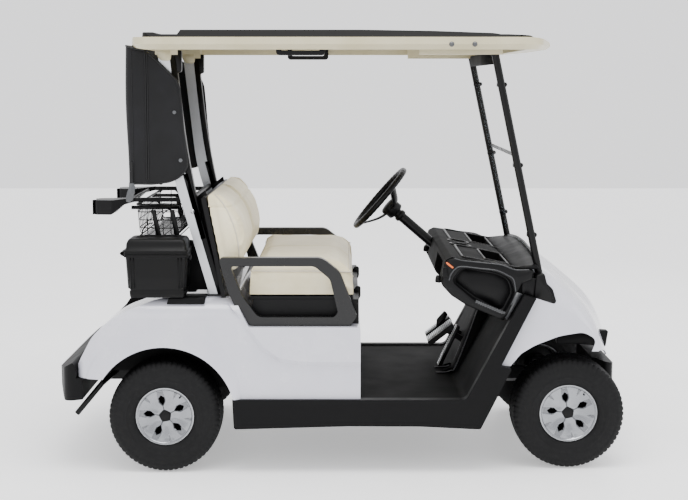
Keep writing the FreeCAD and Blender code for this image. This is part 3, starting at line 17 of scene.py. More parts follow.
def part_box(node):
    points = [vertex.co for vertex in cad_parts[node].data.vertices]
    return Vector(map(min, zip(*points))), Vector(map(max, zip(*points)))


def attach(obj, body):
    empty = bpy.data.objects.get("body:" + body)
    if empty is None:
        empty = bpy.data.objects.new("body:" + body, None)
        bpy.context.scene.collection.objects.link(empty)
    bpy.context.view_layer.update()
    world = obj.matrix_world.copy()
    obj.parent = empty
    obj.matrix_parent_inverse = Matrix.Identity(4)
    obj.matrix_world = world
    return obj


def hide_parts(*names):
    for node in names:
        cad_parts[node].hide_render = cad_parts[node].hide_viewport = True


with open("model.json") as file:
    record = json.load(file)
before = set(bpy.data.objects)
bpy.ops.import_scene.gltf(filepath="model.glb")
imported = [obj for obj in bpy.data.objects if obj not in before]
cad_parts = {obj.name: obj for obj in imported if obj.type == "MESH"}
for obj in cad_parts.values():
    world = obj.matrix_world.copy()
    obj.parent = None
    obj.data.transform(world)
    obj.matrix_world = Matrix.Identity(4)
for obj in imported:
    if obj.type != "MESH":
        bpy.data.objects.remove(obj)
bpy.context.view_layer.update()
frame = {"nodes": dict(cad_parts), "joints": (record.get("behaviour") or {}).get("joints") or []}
nodes = frame["nodes"]
joints = {j["name"]: j for j in frame["joints"]}
REAR_AXLE = joints["spin_rear_left"]["pos_m"][0]

# %% [markdown]
# ## Measures
# A workshop measures a cart from its rear axle. So does this script: a point is given by its
# station ahead of that axle, its side and its height, in millimetres, and one function turns whole
# arrays of such points into metres.

# %% Places in millimetres
MM = 0.001
SIDES = (("far", 1.0), ("near", -1.0))


def at(station, side, height):
    """Points from stations ahead of the rear axle, sides and heights in mm: x = axle + station."""
    s, y, z = np.broadcast_arrays(station, side, height)
    return np.stack([REAR_AXLE + s * MM, y * MM, z * MM], -1).astype(float)


def station(x):
    """Station in mm of a place along the cart in metres: (x - axle) / 0.001."""
    return (x - REAR_AXLE) / MM


def box_of(node):
    """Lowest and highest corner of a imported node, in metres."""
    return (np.array(corner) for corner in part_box(node))


def smooth(t):
    """Goes from 0 to 1 with level ends: 3 t squared less 2 t cubed."""
    t = np.clip(t, 0.0, 1.0)
    return t * t * (3.0 - 2.0 * t)


def turns(count, start=0.0):
    """Evenly spaced angles of one full turn."""
    return np.arange(count) * 2 * np.pi / count + start


print("rear axle at x", REAR_AXLE)

# %% [markdown]
# ## From arrays to meshes
# Most new pieces are grids: rows of points that run round or along a shape. A grid needs only its
# points, because the four corners of each face follow from its row and column. Closing a grid round
# on itself gives a tube or a ring.

# %% Grid of faces
def grid_faces(rows, columns, wrap_rows=False, wrap_columns=False):
    """Corner numbers of a grid's faces: (i, j), (i, j + 1), (i + 1, j + 1), (i + 1, j)."""
    i = np.arange(rows if wrap_rows else rows - 1)[:, None]
    j = np.arange(columns if wrap_columns else columns - 1)[None, :]
    right = (j + 1) % columns
    below = (i + 1) % rows
    corners = [i * columns + j, i * columns + right, below * columns + right, below * columns + j]
    return np.stack(np.broadcast_arrays(*corners), -1).reshape(-1, 4)


def mesh_points(mesh):
    co = np.zeros(len(mesh.vertices) * 3)
    mesh.vertices.foreach_get("co", co)
    return co.reshape(-1, 3)


def linked(name, data):
    """An object at the origin, in the scene."""
    thing = bpy.data.objects.new(name, data)
    bpy.context.scene.collection.objects.link(thing)
    return thing


def shade_smooth(mesh):
    mesh.polygons.foreach_set("use_smooth", np.ones(len(mesh.polygons), bool))


def new_mesh(name, points, faces):
    """A mesh object at the origin from an array of points and a list of faces."""
    mesh = bpy.data.meshes.new(name)
    mesh.from_pydata(points.reshape(-1, 3).tolist(), [], [list(map(int, f)) for f in faces])
    shade_smooth(mesh)
    mesh.update()
    return linked(name, mesh)


def outward(piece):
    """Points every face away from the inside: the signed volume of a closed mesh is positive."""
    mesh = piece.data
    mesh.calc_loop_triangles()
    tri = np.zeros(len(mesh.loop_triangles) * 3, np.int32)
    mesh.loop_triangles.foreach_get("vertices", tri)
    a, b, c = (mesh_points(mesh)[tri.reshape(-1, 3)[:, k]] for k in range(3))
    if np.einsum("ij,ij->", a, np.cross(b, c)) < 0:
        mesh.flip_normals()
    return piece


def grid(name, points, wrap_rows=False, wrap_columns=False, caps=False):
    """A grid of points as a mesh; caps close the first and last row, which wrap round."""
    points = np.asarray(points)
    rows, columns = points.shape[:2]
    faces = grid_faces(rows, columns, wrap_rows, wrap_columns).tolist()
    if caps:
        faces.append(list(range(columns))[::-1])
        faces.append(list(range((rows - 1) * columns, rows * columns)))
    return outward(new_mesh(name, points, faces))


print("a 3 by 4 grid has", len(grid_faces(3, 4)), "faces")

# %% [markdown]
# A bar, wire, cord or welt is a section carried along a path. The section stands square to the
# path at each of its points: one side looks along a chosen direction and the other across it.

# %% Section carried along a path
def unit(vectors):
    """Vectors at length one: v / |v|."""
    return vectors / np.linalg.norm(vectors, axis=-1, keepdims=True)


def circle(radius_mm, sides=8):
    """Points of a round section: (r cos t, r sin t)."""
    t = turns(sides)
    return radius_mm * MM * np.stack([np.cos(t), np.sin(t)], -1)


def sweep_points(path, section, up=(0, 0, 1), closed=False, scale=1.0):
    """Grid of section points at each path point: path + across * a + over * b."""
    path = np.asarray(path, float)
    if closed:
        tangent = unit(np.roll(path, -1, 0) - np.roll(path, 1, 0))
    else:
        tangent = unit(np.gradient(path, axis=0))
    across = unit(np.cross(np.broadcast_to(np.asarray(up, float), tangent.shape), tangent))
    over = np.cross(tangent, across)
    size = np.broadcast_to(scale, (len(path),))[:, None, None]
    a = section[None, :, 0, None] * across[:, None] * size
    b = section[None, :, 1, None] * over[:, None] * size
    return path[:, None] + a + b


def sweep(name, path, section, up=(0, 0, 1), closed=False, scale=1.0):
    points = sweep_points(path, section, up, closed, scale)
    return grid(name, points, wrap_rows=closed, wrap_columns=True, caps=not closed)


print("a circle has", len(circle(1.0)), "points")

# %% [markdown]
# Paths and outlines come from a few measured points. Some are joined by a smooth curve, and
# others by straight runs whose corners are rounded, as a bender or a mould would leave them.

# %% Curves and rounded outlines
def curve_through(points, count):
    """Smooth path through a few points: the cubic whose slope at each is that of its neighbours."""
    p = np.asarray(points, float)
    slope = np.gradient(p, axis=0)
    t = np.linspace(0, len(p) - 1, count)
    k = np.minimum(t.astype(int), len(p) - 2)
    u = (t - k)[:, None]
    h00, h10 = 2 * u**3 - 3 * u**2 + 1, u**3 - 2 * u**2 + u
    h01, h11 = -2 * u**3 + 3 * u**2, u**3 - u**2
    return h00 * p[k] + h10 * slope[k] + h01 * p[k + 1] + h11 * slope[k + 1]


def rounded(points, radius, steps=6, closed=True):
    """Path whose corners are swapped for curves that start and end a radius from them."""
    p = np.asarray(points, float)
    back, on = unit(np.roll(p, 1, 0) - p), unit(np.roll(p, -1, 0) - p)
    t = np.linspace(0, 1, steps)[None, :, None]
    start, end = (p + back * radius)[:, None], (p + on * radius)[:, None]
    bend = (1 - t)**2 * start + 2 * t * (1 - t) * p[:, None] + t**2 * end
    if closed:
        return bend.reshape(-1, p.shape[1])
    return np.concatenate([p[:1], bend[1:-1].reshape(-1, p.shape[1]), p[-1:]])


def rectangle(x0, x1, y0, y1, radius, steps=6):
    """Rectangle with rounded corners, as an array of x and y."""
    return rounded([(x0, y0), (x1, y0), (x1, y1), (x0, y1)], radius, steps)


def bar_section(half_width_mm, half_height_mm, radius_mm, steps=3):
    """Section of a flat bar about its middle."""
    w, h = half_width_mm, half_height_mm
    return rectangle(-w, w, -h, h, radius_mm, steps) * MM


print("a rounded rectangle has", len(rectangle(0, 2, 0, 1, 0.2)), "points")

# %% [markdown]
# Small fittings such as bolt heads and snaps are one turned shape that is set down many times. The
# turned profile is worked out once, and every copy is the same array moved and tilted.

# %% Turned pieces
def turned(profile, count=24):
    """Grid from (radius, height) rows in mm turned about the upright: (r cos t, r sin t, h)."""
    r, h = (np.asarray(profile, float) * MM).T[:, :, None]
    t = turns(count)
    return np.stack([r * np.cos(t), r * np.sin(t), np.repeat(h, count, 1)], -1)


def frames_along(normals):
    """Three square directions for each normal: two across it and the normal itself."""
    n = unit(np.asarray(normals, float))
    helper = np.where(np.abs(n[:, 2:3]) > 0.9, [[1.0, 0, 0]], [[0, 0, 1.0]])
    a = unit(np.cross(helper, n))
    return np.stack([a, np.cross(n, a), n], 1)


def set_down(name, profile, places, normals, count=12):
    """One mesh of many turned pieces, each standing on its place along its normal."""
    shape = turned(profile, count)
    rows, columns = shape.shape[:2]
    axes = frames_along(np.broadcast_to(normals, np.shape(places)))
    points = np.einsum("rck,pkd->prcd", shape, axes) + np.asarray(places, float)[:, None, None]
    faces = grid_faces(rows, columns, wrap_columns=True)
    top = np.arange(columns)[None, :] + (rows - 1) * columns
    step = rows * columns * np.arange(len(points))[:, None, None]
    quads = (faces[None] + step).reshape(-1, 4).tolist()
    tops = (top[None] + step).reshape(-1, columns).tolist()
    return new_mesh(name, points, quads + tops)


print("turned grid", turned([(1, 0), (1, 1)]).shape)

# %% [markdown]
# ## The photograph's camera and a soft studio
# The camera stands nearly six metres off the cart's right side, a little above the driver's head,
# and tips down seven degrees. Large soft lamps and a pale floor give the even light of a catalogue
# picture, with a bright sky that draws long highlights over the glossy body.

# %% Camera
SENSOR_MM = 36.0
FOCAL_PX, FRAME_PX = 1345.0, 688.0
TILT_DOWN = 7.15
camera_data = bpy.data.cameras.new("photo_camera")
camera_data.sensor_width = SENSOR_MM
camera_data.lens = SENSOR_MM * FOCAL_PX / FRAME_PX
camera = linked("photo_camera", camera_data)
camera.location = (0.014, -5.876, 1.573)
camera.rotation_euler = (math.radians(90.0 - TILT_DOWN), 0.0, 0.0)
bpy.context.scene.camera = camera
print("lens", round(camera_data.lens, 1), "mm")

# %% [markdown]
# A material is a small graph of nodes. With one function that adds a node and links it, a finish
# reads as a short list: its colours, how its gloss varies and how its skin is embossed.

# %% Nodes and colours
def linear(code):
    """sRGB hex to the linear values that a shader works with: ((c + 0.055) / 1.055) ^ 2.4."""
    c = np.array([int(code[k:k + 2], 16) for k in (0, 2, 4)]) / 255.0
    low, high = c / 12.92, ((c + 0.055) / 1.055)**2.4
    return tuple(np.where(c <= 0.04045, low, high).tolist()) + (1.0,)


def add(material, kind, settings=None, links=()):
    """Adds one node, sets its properties and inputs, and links (input, node, output) to it."""
    node = material.node_tree.nodes.new(kind)
    for key, value in (settings or {}).items():
        if isinstance(key, int) or key in node.inputs:
            node.inputs[key].default_value = value
        else:
            setattr(node, key, value)
    for socket, source, output in links:
        material.node_tree.links.new(source.outputs[output], node.inputs[socket])
    return node


def shader_of(material):
    return material.node_tree.nodes["Principled BSDF"]


def join_up(material, socket, node, output):
    """Links a node's output to a socket of the material's shader."""
    material.node_tree.links.new(node.outputs[output], shader_of(material).inputs[socket])


def finish(name, colour, roughness, **sockets):
    """A material whose shader holds its constant values, and the piece's own coordinates."""
    material = bpy.data.materials.new(name)
    material.use_nodes = True
    shader = shader_of(material)
    shader.inputs["Base Color"].default_value = linear(colour)
    shader.inputs["Roughness"].default_value = roughness
    for key, value in sockets.items():
        shader.inputs[key.replace("_", " ")].default_value = value
    return material, add(material, "ShaderNodeTexCoord")


print("mid grey", [round(v, 3) for v in linear("808080")])

# %% Patterns over a finish
def noise(material, place, **settings):
    return add(material, "ShaderNodeTexNoise", settings, [("Vector", place, "Object")])


def tint(material, source, stops, low=0.3, high=0.7):
    """Spreads a pattern's values over hex colours between low and high, as the base colour."""
    node = add(material, "ShaderNodeValToRGB", None, [("Fac", source, "Fac")])
    spots = np.linspace(low, high, len(stops))
    while len(node.color_ramp.elements) < len(stops):
        node.color_ramp.elements.new(0.5)
    for element, spot, code in zip(node.color_ramp.elements, spots, stops):
        element.position = spot
        element.color = linear(code)
    join_up(material, "Base Color", node, "Color")


def spread_gloss(material, source, low, high, start=0.3, end=0.7):
    """Lets a pattern move the roughness from low to high."""
    span = {"From Min": start, "From Max": end, "To Min": low, "To Max": high}
    node = add(material, "ShaderNodeMapRange", span, [("Value", source, "Fac")])
    join_up(material, "Roughness", node, "Result")


def emboss(material, source, output, strength, depth_mm):
    """Lets a pattern tip the surface as a relief of this depth would."""
    node = add(material, "ShaderNodeBump", {"Strength": strength, "Distance": depth_mm * MM},
               [("Height", source, output)])
    join_up(material, "Normal", node, "Normal")


# %% [markdown]
# A pale matt floor and a bright sky stand for the photo's white ground. One large lamp hangs
# above, and three fainter ones stand at the camera's side, the far side and the front.

# %% Floor, sky and lamps
FLOOR_HALF = 14.0
corner = np.linspace(-FLOOR_HALF, FLOOR_HALF, 3)
floor = grid("studio_floor", np.stack([*np.meshgrid(corner, corner, indexing="ij"),
                                       np.zeros((3, 3))], -1))
floor_paint, place = finish("studio_floor_matt_paint", "f6f6f7", 0.55, Emission_Strength=0.45)
tint(floor_paint, noise(floor_paint, place, Scale=3.0, Detail=3.0), ("f8f8f8", "fdfdfd"))
floor.data.materials.append(floor_paint)

world = bpy.data.worlds.new("studio_sky")
world.use_nodes = True
sky = world.node_tree.nodes["Background"].inputs
sky["Color"].default_value = linear("fbfbfd")
sky["Strength"].default_value = 1.6
bpy.context.scene.world = world


def soft_lamp(name, place, target, size, watts):
    """A rectangle of light that faces a point."""
    data = bpy.data.lights.new(name, "AREA")
    data.shape = "RECTANGLE"
    data.size, data.size_y = size
    data.energy = watts
    lamp = linked(name, data)
    lamp.location = place
    lamp.rotation_euler = (Vector(place) - Vector(target)).to_track_quat("Z", "Y").to_euler()


soft_lamp("lamp_above", (0.2, -1.5, 4.6), (0.0, 0.0, 0.8), (3.4, 2.0), 170.0)
soft_lamp("lamp_camera_side", (-2.2, -4.8, 2.6), (0.0, 0.0, 0.8), (2.4, 2.0), 20.0)
soft_lamp("lamp_far_side", (1.8, 4.8, 3.0), (0.0, 0.0, 0.9), (3.0, 2.2), 25.0)
soft_lamp("lamp_front", (5.0, -0.8, 2.6), (0.6, 0.0, 0.7), (2.4, 2.0), 25.0)

# %% [markdown]
# ## Finishes
# Each finish starts from the real material. Patterns are laid in the piece's own coordinates, so
# their size can be written as one over a length: a grain of 2 mm has a scale of 500 per metre.
# A bump from a fine pattern breaks the highlight in the way a moulded skin does, and a slow, faint
# pattern in the colour keeps large faces from looking printed.

# %% Grained and smooth plastics
def moulded(name, colours, roughness, grain_mm, depth_mm, wear=0.08, **sockets):
    """Plastic from a grained or polished mould: cell grain for the skin, slow noise for wear."""
    material, place = finish(name, colours[0], roughness, **sockets)
    slow = noise(material, place, Scale=7.0, Detail=5.0, Roughness=0.6)
    tint(material, slow, colours)
    spread_gloss(material, slow, roughness - wear, roughness + wear)
    grain = add(material, "ShaderNodeTexVoronoi",
                {"Scale": 1000.0 / grain_mm, "feature": "SMOOTH_F1"}, [("Vector", place, "Object")])
    emboss(material, grain, "Distance", 0.6, depth_mm)
    return material


# Painted and clear-coated TPO: lilac white, with a wet gloss over a slightly wavy skin.
body_paint = moulded("clearcoated_tpo_pearl_white", ("c6c6d0", "cdcdd6"), 0.26, 9.0, 0.02, 0.03,
                     Coat_Weight=0.7, Coat_Roughness=0.06, IOR=1.5)
# Grained polypropylene: near black, matt, with the fine leather grain of a bumper.
grained_black = moulded("grained_polypropylene_black", ("060607", "0a0a0b"), 0.55, 1.6, 0.12,
                        Specular_IOR_Level=0.13)
# Moulded floor and dash skin: black thermoplastic with a matt stipple that hides dirt.
floor_black = moulded("stippled_tpo_floor_black", ("040404", "060606"), 0.7, 3.0, 0.15, 0.04,
                      Specular_IOR_Level=0.07)
# Satin TPO trim: black and smoother, with a broad dull highlight.
satin_black = moulded("satin_tpo_trim_black", ("050506", "080809"), 0.38, 1.2, 0.04,
                      Specular_IOR_Level=0.18)
print("plastics of the body", len(bpy.data.materials))

# %% Plastics of the roof and the fittings
# Mould-polished ABS: the beige roof tray, slightly glossy.
roof_beige = moulded("thermoformed_abs_beige", ("b9b08f", "c4bc9f"), 0.36, 6.0, 0.02, 0.05,
                     Coat_Weight=0.25, Coat_Roughness=0.2)
# The roof's top skin: brown black with a stippled matt face; the dark colour is a painted
# reflection, standing for a beige top that mirrors a dark ceiling.
roof_top_painted_reflection = moulded("stippled_abs_painted_dark_reflection", ("080706", "0c0b0a"), 0.5, 2.4, 0.10, 0.05,
                    Specular_IOR_Level=0.14)
# Painted steel arm rests: black with a brighter gloss than the mouldings.
arm_black = moulded("gloss_painted_arm_black", ("09090a", "0e0e0f"), 0.30, 4.0, 0.02,
                    Specular_IOR_Level=0.42)
# ABS of the cooler box: deep black with a coarse haircell grain.
box_black = moulded("haircell_abs_black", ("050506", "090909"), 0.42, 1.0, 0.10,
                    Specular_IOR_Level=0.16)
# Black trim painted mid grey as a painted highlight: edges and facets of the dash, and beads of the
# floor, that catch the light.
painted_highlight_trim = moulded("tpo_painted_highlight_grey", ("2c2d2f", "3a3b3d"), 0.30, 1.4, 0.03,
                      Specular_IOR_Level=0.5)
# Smoked acetal of buckles and snaps: mid grey, with a wet highlight.
smoked_buckle = moulded("smoked_acetal_buckle", ("3c3d3f", "525457"), 0.22, 5.0, 0.01, 0.03)
# Thin orange plastic of the dash's reflector: a small warm spot in the black.
signal_orange = moulded("signal_orange_acrylic", ("d9601a", "e4702a"), 0.25, 4.0, 0.01, 0.03)
print("plastics", len(bpy.data.materials))

# %% [markdown]
# A metal shows by its reflections, so its finish lies in the gloss: fine scratches or orange
# peel spread the highlight, and slow noise in the colour stands for handling.

# %% Metals, rubber and glass
def metal(name, colours, roughness, scratch_mm, **sockets):
    """Bare or painted metal: fine noise for its finish and slow noise for handling marks."""
    material, place = finish(name, colours[0], roughness, **sockets)
    tint(material, noise(material, place, Scale=11.0, Detail=6.0), colours)
    fine = noise(material, place, Scale=1000.0 / scratch_mm, Detail=2.0)
    spread_gloss(material, fine, roughness * 0.8, roughness * 1.25)
    emboss(material, fine, "Fac", 0.3, 0.03)
    return material


# Powder-coated steel: black with a fine orange peel and a soft sheen.
powder_black = metal("powder_coated_steel_black", ("050506", "090909"), 0.34, 1.5,
                     Specular_IOR_Level=0.2)
# Cast iron and cast aluminium of axle and engine, dull and uneven.
cast_grey = metal("cast_aluminium_grey", ("5d5e60", "77787a"), 0.62, 2.2, Metallic=0.8)
# Anodised aluminium of the rear struts: bright, with a silky broken highlight.
anodised = metal("anodised_aluminium_silver", ("c2c4c7", "cdcfd2"), 0.34, 0.6, Metallic=1.0)
# Zinc-plated steel of bolts and springs: cold and bright, so small heads stand out.
zinc = metal("zinc_plated_steel", ("b9bbbe", "cfd1d3"), 0.28, 0.8, Metallic=1.0)
# Silver lacquer of the wheel covers: fine flake under a clear coat.
wheel_silver = metal("silver_lacquered_wheel_cover", ("7e8084", "8f9195"), 0.24, 0.5,
                     Metallic=0.95, Coat_Weight=0.6, Coat_Roughness=0.06)
# Moulded tyre rubber: black, dry and slightly mottled.
rubber, place = finish("moulded_tyre_rubber", "0c0c0d", 0.66, Specular_IOR_Level=0.2)
mottle = noise(rubber, place, Scale=60.0, Detail=6.0, Roughness=0.7)
tint(rubber, mottle, ("080809", "0c0c0d", "121212"))
emboss(rubber, mottle, "Fac", 0.5, 0.15)
# Tinted polycarbonate of the windshield: almost clear, with a thin film of dust in its gloss.
clear_pane, place = finish("tinted_polycarbonate_pane", "aebcc4", 0.02, Alpha=0.03)
spread_gloss(clear_pane, noise(clear_pane, place, Scale=25.0, Detail=4.0), 0.0, 0.02, 0.0, 1.0)
print("materials", len(bpy.data.materials))

# %% [markdown]
# Vinyl has a fine leather grain pressed into it: small rounded cells with creases between them.
# The seat's is cream and a little glossy where people slide over it, and the bag cover's is a
# black coated cloth whose weave just shows through.

# %% Vinyl and coated cloth
def vinyl(name, colours, roughness, cell_mm, depth_mm, **sockets):
    """Embossed vinyl: two sizes of cell, a crease pattern in the bump and slow colour change."""
    material, place = finish(name, colours[0], roughness, **sockets)
    slow = noise(material, place, Scale=9.0, Detail=4.0)
    tint(material, slow, colours)
    spread_gloss(material, slow, roughness - 0.08, roughness + 0.08, 0.0, 1.0)
    warp = noise(material, place, Scale=1000.0 / (4 * cell_mm), Detail=1.0)
    shift = {"operation": "MULTIPLY_ADD", 1: (0.002, 0.002, 0.002)}
    mixed = add(material, "ShaderNodeVectorMath", shift, [(0, warp, "Color"), (2, place, "Object")])
    cells = add(material, "ShaderNodeTexVoronoi",
                {"Scale": 1000.0 / cell_mm, "feature": "DISTANCE_TO_EDGE"},
                [("Vector", mixed, "Vector")])
    plump = add(material, "ShaderNodeMapRange", {"From Max": 0.25}, [("Value", cells, "Distance")])
    emboss(material, plump, "Result", 0.55, depth_mm)
    return material


# Marine vinyl of the seats: cream, soft grain of 2 mm cells.
seat_vinyl = vinyl("embossed_marine_vinyl_cream", ("dfd3ae", "e7dcb9", "ede4c6"), 0.46, 2.0, 0.18,
                   Sheen_Weight=0.15, Sheen_Roughness=0.4)
# The welts' strip of the same vinyl: a shade darker and duller, so the seams read as lines.
welt_vinyl = vinyl("welt_vinyl_cream", ("c9c0ac", "d4ccb9"), 0.5, 1.2, 0.08)
# Coated polyester of the bag cover: black, with a tight 1.5 mm texture.
cover_cloth = vinyl("coated_polyester_black", ("09090a", "0d0d0f", "121215"), 0.50, 1.5, 0.12,
                    Sheen_Weight=0.05, Sheen_Roughness=0.5, Specular_IOR_Level=0.2)
# Bound edges and straps: the same black, smoother, so they catch a thin line of light.
cover_piping = vinyl("bound_edge_black", ("060607", "0c0c0e"), 0.36, 1.2, 0.06,
                     Specular_IOR_Level=0.3)
print("all materials", len(bpy.data.materials))

# %% [markdown]
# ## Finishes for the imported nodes
# A node whose shape is right stays as it is and only takes a better material. The table below goes
# through the cart as a painter would, finish by finish.

# %% Dress the nodes
corners = ("front_left", "front_right", "rear_left", "rear_right")
dressing = {
    body_paint: ["rear_body", "front_cowl"],
    grained_black: ["sill_left", "sill_right", "front_bumper", "rear_bumper", "bag_well",
                    "wheel_liners"],
    floor_black: ["floor_pan", "dash"],
    satin_black: ["seat_base", "cushion_tray", "seat_back_shell", "grab_handles", "bag_rack",
                  "steering_wheel"],
    arm_black: ["hip_restraint_left", "hip_restraint_right"],
    box_black: ["cooler_box", "cooler_lid"],
    roof_beige: ["roof_edge", "roof_brackets"],
    roof_top_painted_reflection: ["roof_top"],
    powder_black: ["frame_rails", "cross_members", "front_axle", "tie_rod", "front_struts",
                   "basket", "steering_column", "pedals", "exhaust_pipe"],
    cast_grey: ["engine", "rear_axle", "knuckle_left", "knuckle_right"],
    zinc: ["rear_springs"],
    anodised: ["rear_strut_left", "rear_strut_right"],
    wheel_silver: ["rim_" + c for c in corners],
    rubber: ["tyre_" + c for c in corners],
    seat_vinyl: ["seat_cushion", "seat_back_left", "seat_back_right"],
    cover_cloth: ["bag_cover"],
    clear_pane: ["windshield"],
}
for material, names in dressing.items():
    for name in names:
        for slot in nodes[name].material_slots:
            slot.material = material
print("dressed", sum(len(names) for names in dressing.values()), "of", len(nodes))


def wear(piece, material, slot, body="chassis"):
    """Gives a new piece its material and the body that it moves with. The slot is not used."""
    piece.data.materials.append(material)
    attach(piece, body)
    return piece


# %% [markdown]
# ## Tyres
# A turf tyre has a flat crown with rows of low blocks, a rounded shoulder whose blocks run over its
# edge, and a bulged wall with a raised rib and fine radial lines. One grid makes it all: the column
# runs across the section and the row runs round, and the blocks are steps in the radius.

# %% Treaded tyre
BLOCKS = 64.0
BLOCK_DEPTH = 5.0
CROWN_RADIUS = 212.0
WALL_RIBS = ((192.0, 200.0),)
ROUND_GROOVES = ((14.0, 16.5), (29.0, 31.5), (42.0, 44.5), (56.5, 60.0))
STAGGERED_ROWS = ((15.5, 30.5), (43.5, 58.0))


def within(values, bands):
    """True where a value lies inside any of the bands."""
    return np.any([(values > low) & (values < high) for low, high in bands], axis=0)


def tyre_points(rows=384):
    """Radius and depth across the section, each step pushed out or in by the tread's pattern."""
    section = np.array([
        (117.5, 71.0), (118.5, 80.0), (121.5, 87.5), (127.0, 92.5), (134.0, 96.5), (142.0, 99.6),
        (149.0, 101.6), (151.5, 104.4), (155.5, 104.6), (158.5, 102.6), (168.0, 103.2),
        (178.0, 102.2), (188.0, 99.5), (196.0, 96.4), (199.0, 96.8), (206.0, 93.6), (213.0, 90.4),
        (219.5, 85.2), (223.5, 79.0), (225.6, 74.0), (226.2, 66.0), (226.9, 59.5), (227.1, 57.5),
        (227.4, 45.0), (227.6, 43.0), (227.9, 32.0), (228.0, 30.0), (228.2, 17.0), (228.3, 15.0),
        (228.4, 2.5), (228.4, 0.8),
    ])
    radius, depth = np.concatenate([section, section[::-1] * [1, -1]]).T[:, None]
    turn = turns(rows)[:, None]
    band = np.abs(depth)
    stagger = np.where(within(band, STAGGERED_ROWS), 0.5, 0.0)
    saw = (turn * BLOCKS / (2 * np.pi) + stagger + 0.006 * depth) % 1.0
    groove = 1.0 - smooth((0.5 - np.abs(saw - 0.5)) / 0.10 - 0.6)
    cut = np.maximum(groove, within(band, ROUND_GROOVES))
    drop = np.where(radius > CROWN_RADIUS, BLOCK_DEPTH * cut, 0.0)
    ribs = np.where(within(radius, WALL_RIBS), 0.9 * np.cos(BLOCKS * turn), 0.0)
    return radius - drop, depth + np.sign(depth) * ribs, turn


print("tread grid", tyre_points()[0].shape)

# %% Tyres on their axles
def round_axle(r, depth, turn, centre, out=1.0):
    """Points about a wheel's axle: x = r cos t, y = depth outward, z = r sin t."""
    parts = np.broadcast_arrays(r * np.cos(turn), out * depth, r * np.sin(turn))
    return np.stack(parts, -1) * MM + centre


def ring_grid(name, points):
    return grid(name, points, wrap_rows=True, wrap_columns=True)


wheels = []
for name in corners:
    centre = np.array(joints["spin_" + name]["pos_m"])
    wheels.append((name, centre, np.sign(centre[1])))
tyre = tyre_points()
for name, centre, _ in wheels:
    piece = ring_grid("treaded_tyre_" + name, round_axle(*tyre, centre))
    wear(piece, rubber, "rubber_tyre", "wheel_" + name)
    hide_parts("tyre_" + name)
print("faces in a tyre", len(piece.data.polygons))

# %% [markdown]
# ## Wheels
# The steel wheel is a turned barrel with a welded disc, and a pressed cover is snapped over it. The
# cover is a dish whose depth is worked out point by point from the distance to the nearest of five
# arms. Kite-shaped holes, the channels that they sit in and narrow dents between them are all
# smooth steps in that depth. A stored value darkens the finish: painted shade in the holes and,
# fainter, in the channels and dents, and a dark star round the hub cap.

# %% Pressed wheel cover
ARMS = 5
ARM_TURN = math.radians(101.0)
HOLE_HALF_WIDTH = 12.3
HOLE_DEPTH, CHANNEL_DEPTH, DENT_DEPTH, PETAL_WAVE = 11.0, 3.4, 3.2, 2.2


def from_arm(r, t, turn):
    """Distances along and across the nearest arm, and its angle: u = r cos a, w = r sin a."""
    fold = 2 * np.pi / ARMS
    a = (t - turn + fold / 2) % fold - fold / 2
    return r * np.cos(a), r * np.sin(a), a


def cover_face(columns=272):
    """Radius, depth, angle and darkening of the cover's face, then of its back: painted shade in
    holes and grooves, and a dark star round the hub cap.
    """
    r = np.concatenate([np.linspace(17.0, 108.0, 58), [109.5, 111.0, 112.0, 114.5, 116.0, 116.6]])
    r, t = r[:, None], turns(columns)[None, :]
    u, w, a = from_arm(r, t, ARM_TURN)
    u2, w2, _ = from_arm(r, t, ARM_TURN + np.pi / ARMS)
    half = HOLE_HALF_WIDTH * np.clip((u - 43.0) / 18.0, 0, 1) * np.clip((88.0 - u) / 13.0, 0, 1)
    hole = smooth((half - np.abs(w)) / 1.6)
    wide = np.interp(u, [18.0, 42.0, 62.0, 104.0], [1.6, 2.4, 16.0, 13.0])
    channel = smooth((wide - np.abs(w)) / 1.4)
    channel = channel * smooth((u - 17.0) / 2.0) * smooth((105.0 - u) / 1.6)
    dent = smooth(((u2 - 74.0) * 0.2 - np.abs(w2)) / 1.4) * smooth((106.0 - u2) / 1.6)
    petal = np.cos(ARMS * a) * smooth((r - 20.0) / 25.0) * smooth((110.0 - r) / 20.0)
    lip = np.interp(r, [107.0, 111.0, 113.5, 116.0, 116.6], [0.0, 4.4, 5.0, 3.2, 0.0])
    depth = 66.0 + 9.0 * smooth((r - 15.0) / 95.0) + PETAL_WAVE * petal + lip
    depth = depth - HOLE_DEPTH * hole - CHANNEL_DEPTH * channel * (1 - hole) - DENT_DEPTH * dent
    # Painted shade: full in the holes, fainter in the channels and dents; the ring darkens a star
    # round the hub cap.
    ring = smooth((24.5 + 1.5 * np.cos(ARMS * a) - r) / 1.5)
    shade_and_dark_centre = np.clip(hole * 1.3 + 0.35 * channel + 0.3 * dent + ring, 0, 1)
    back = np.array([(116.4, 74.0), (112.0, 68.0), (60.0, 54.0), (17.0, 54.0)])
    full = np.ones((1, columns))
    r = np.concatenate([r * full, back[:, :1] * full])
    depth = np.concatenate([depth, back[:, 1:] * full])
    return r, depth, t, np.concatenate([shade_and_dark_centre, np.zeros((len(back), columns))])


print("cover grid", cover_face()[0].shape)

# %% [markdown]
# On the cart the holes look black, because the inside of the wheel lies in shade. A pressed dish
# has no real holes, so the finish goes dull and dark where the stored value says hole: painted
# shade, which also darkens the channels and dents a little.

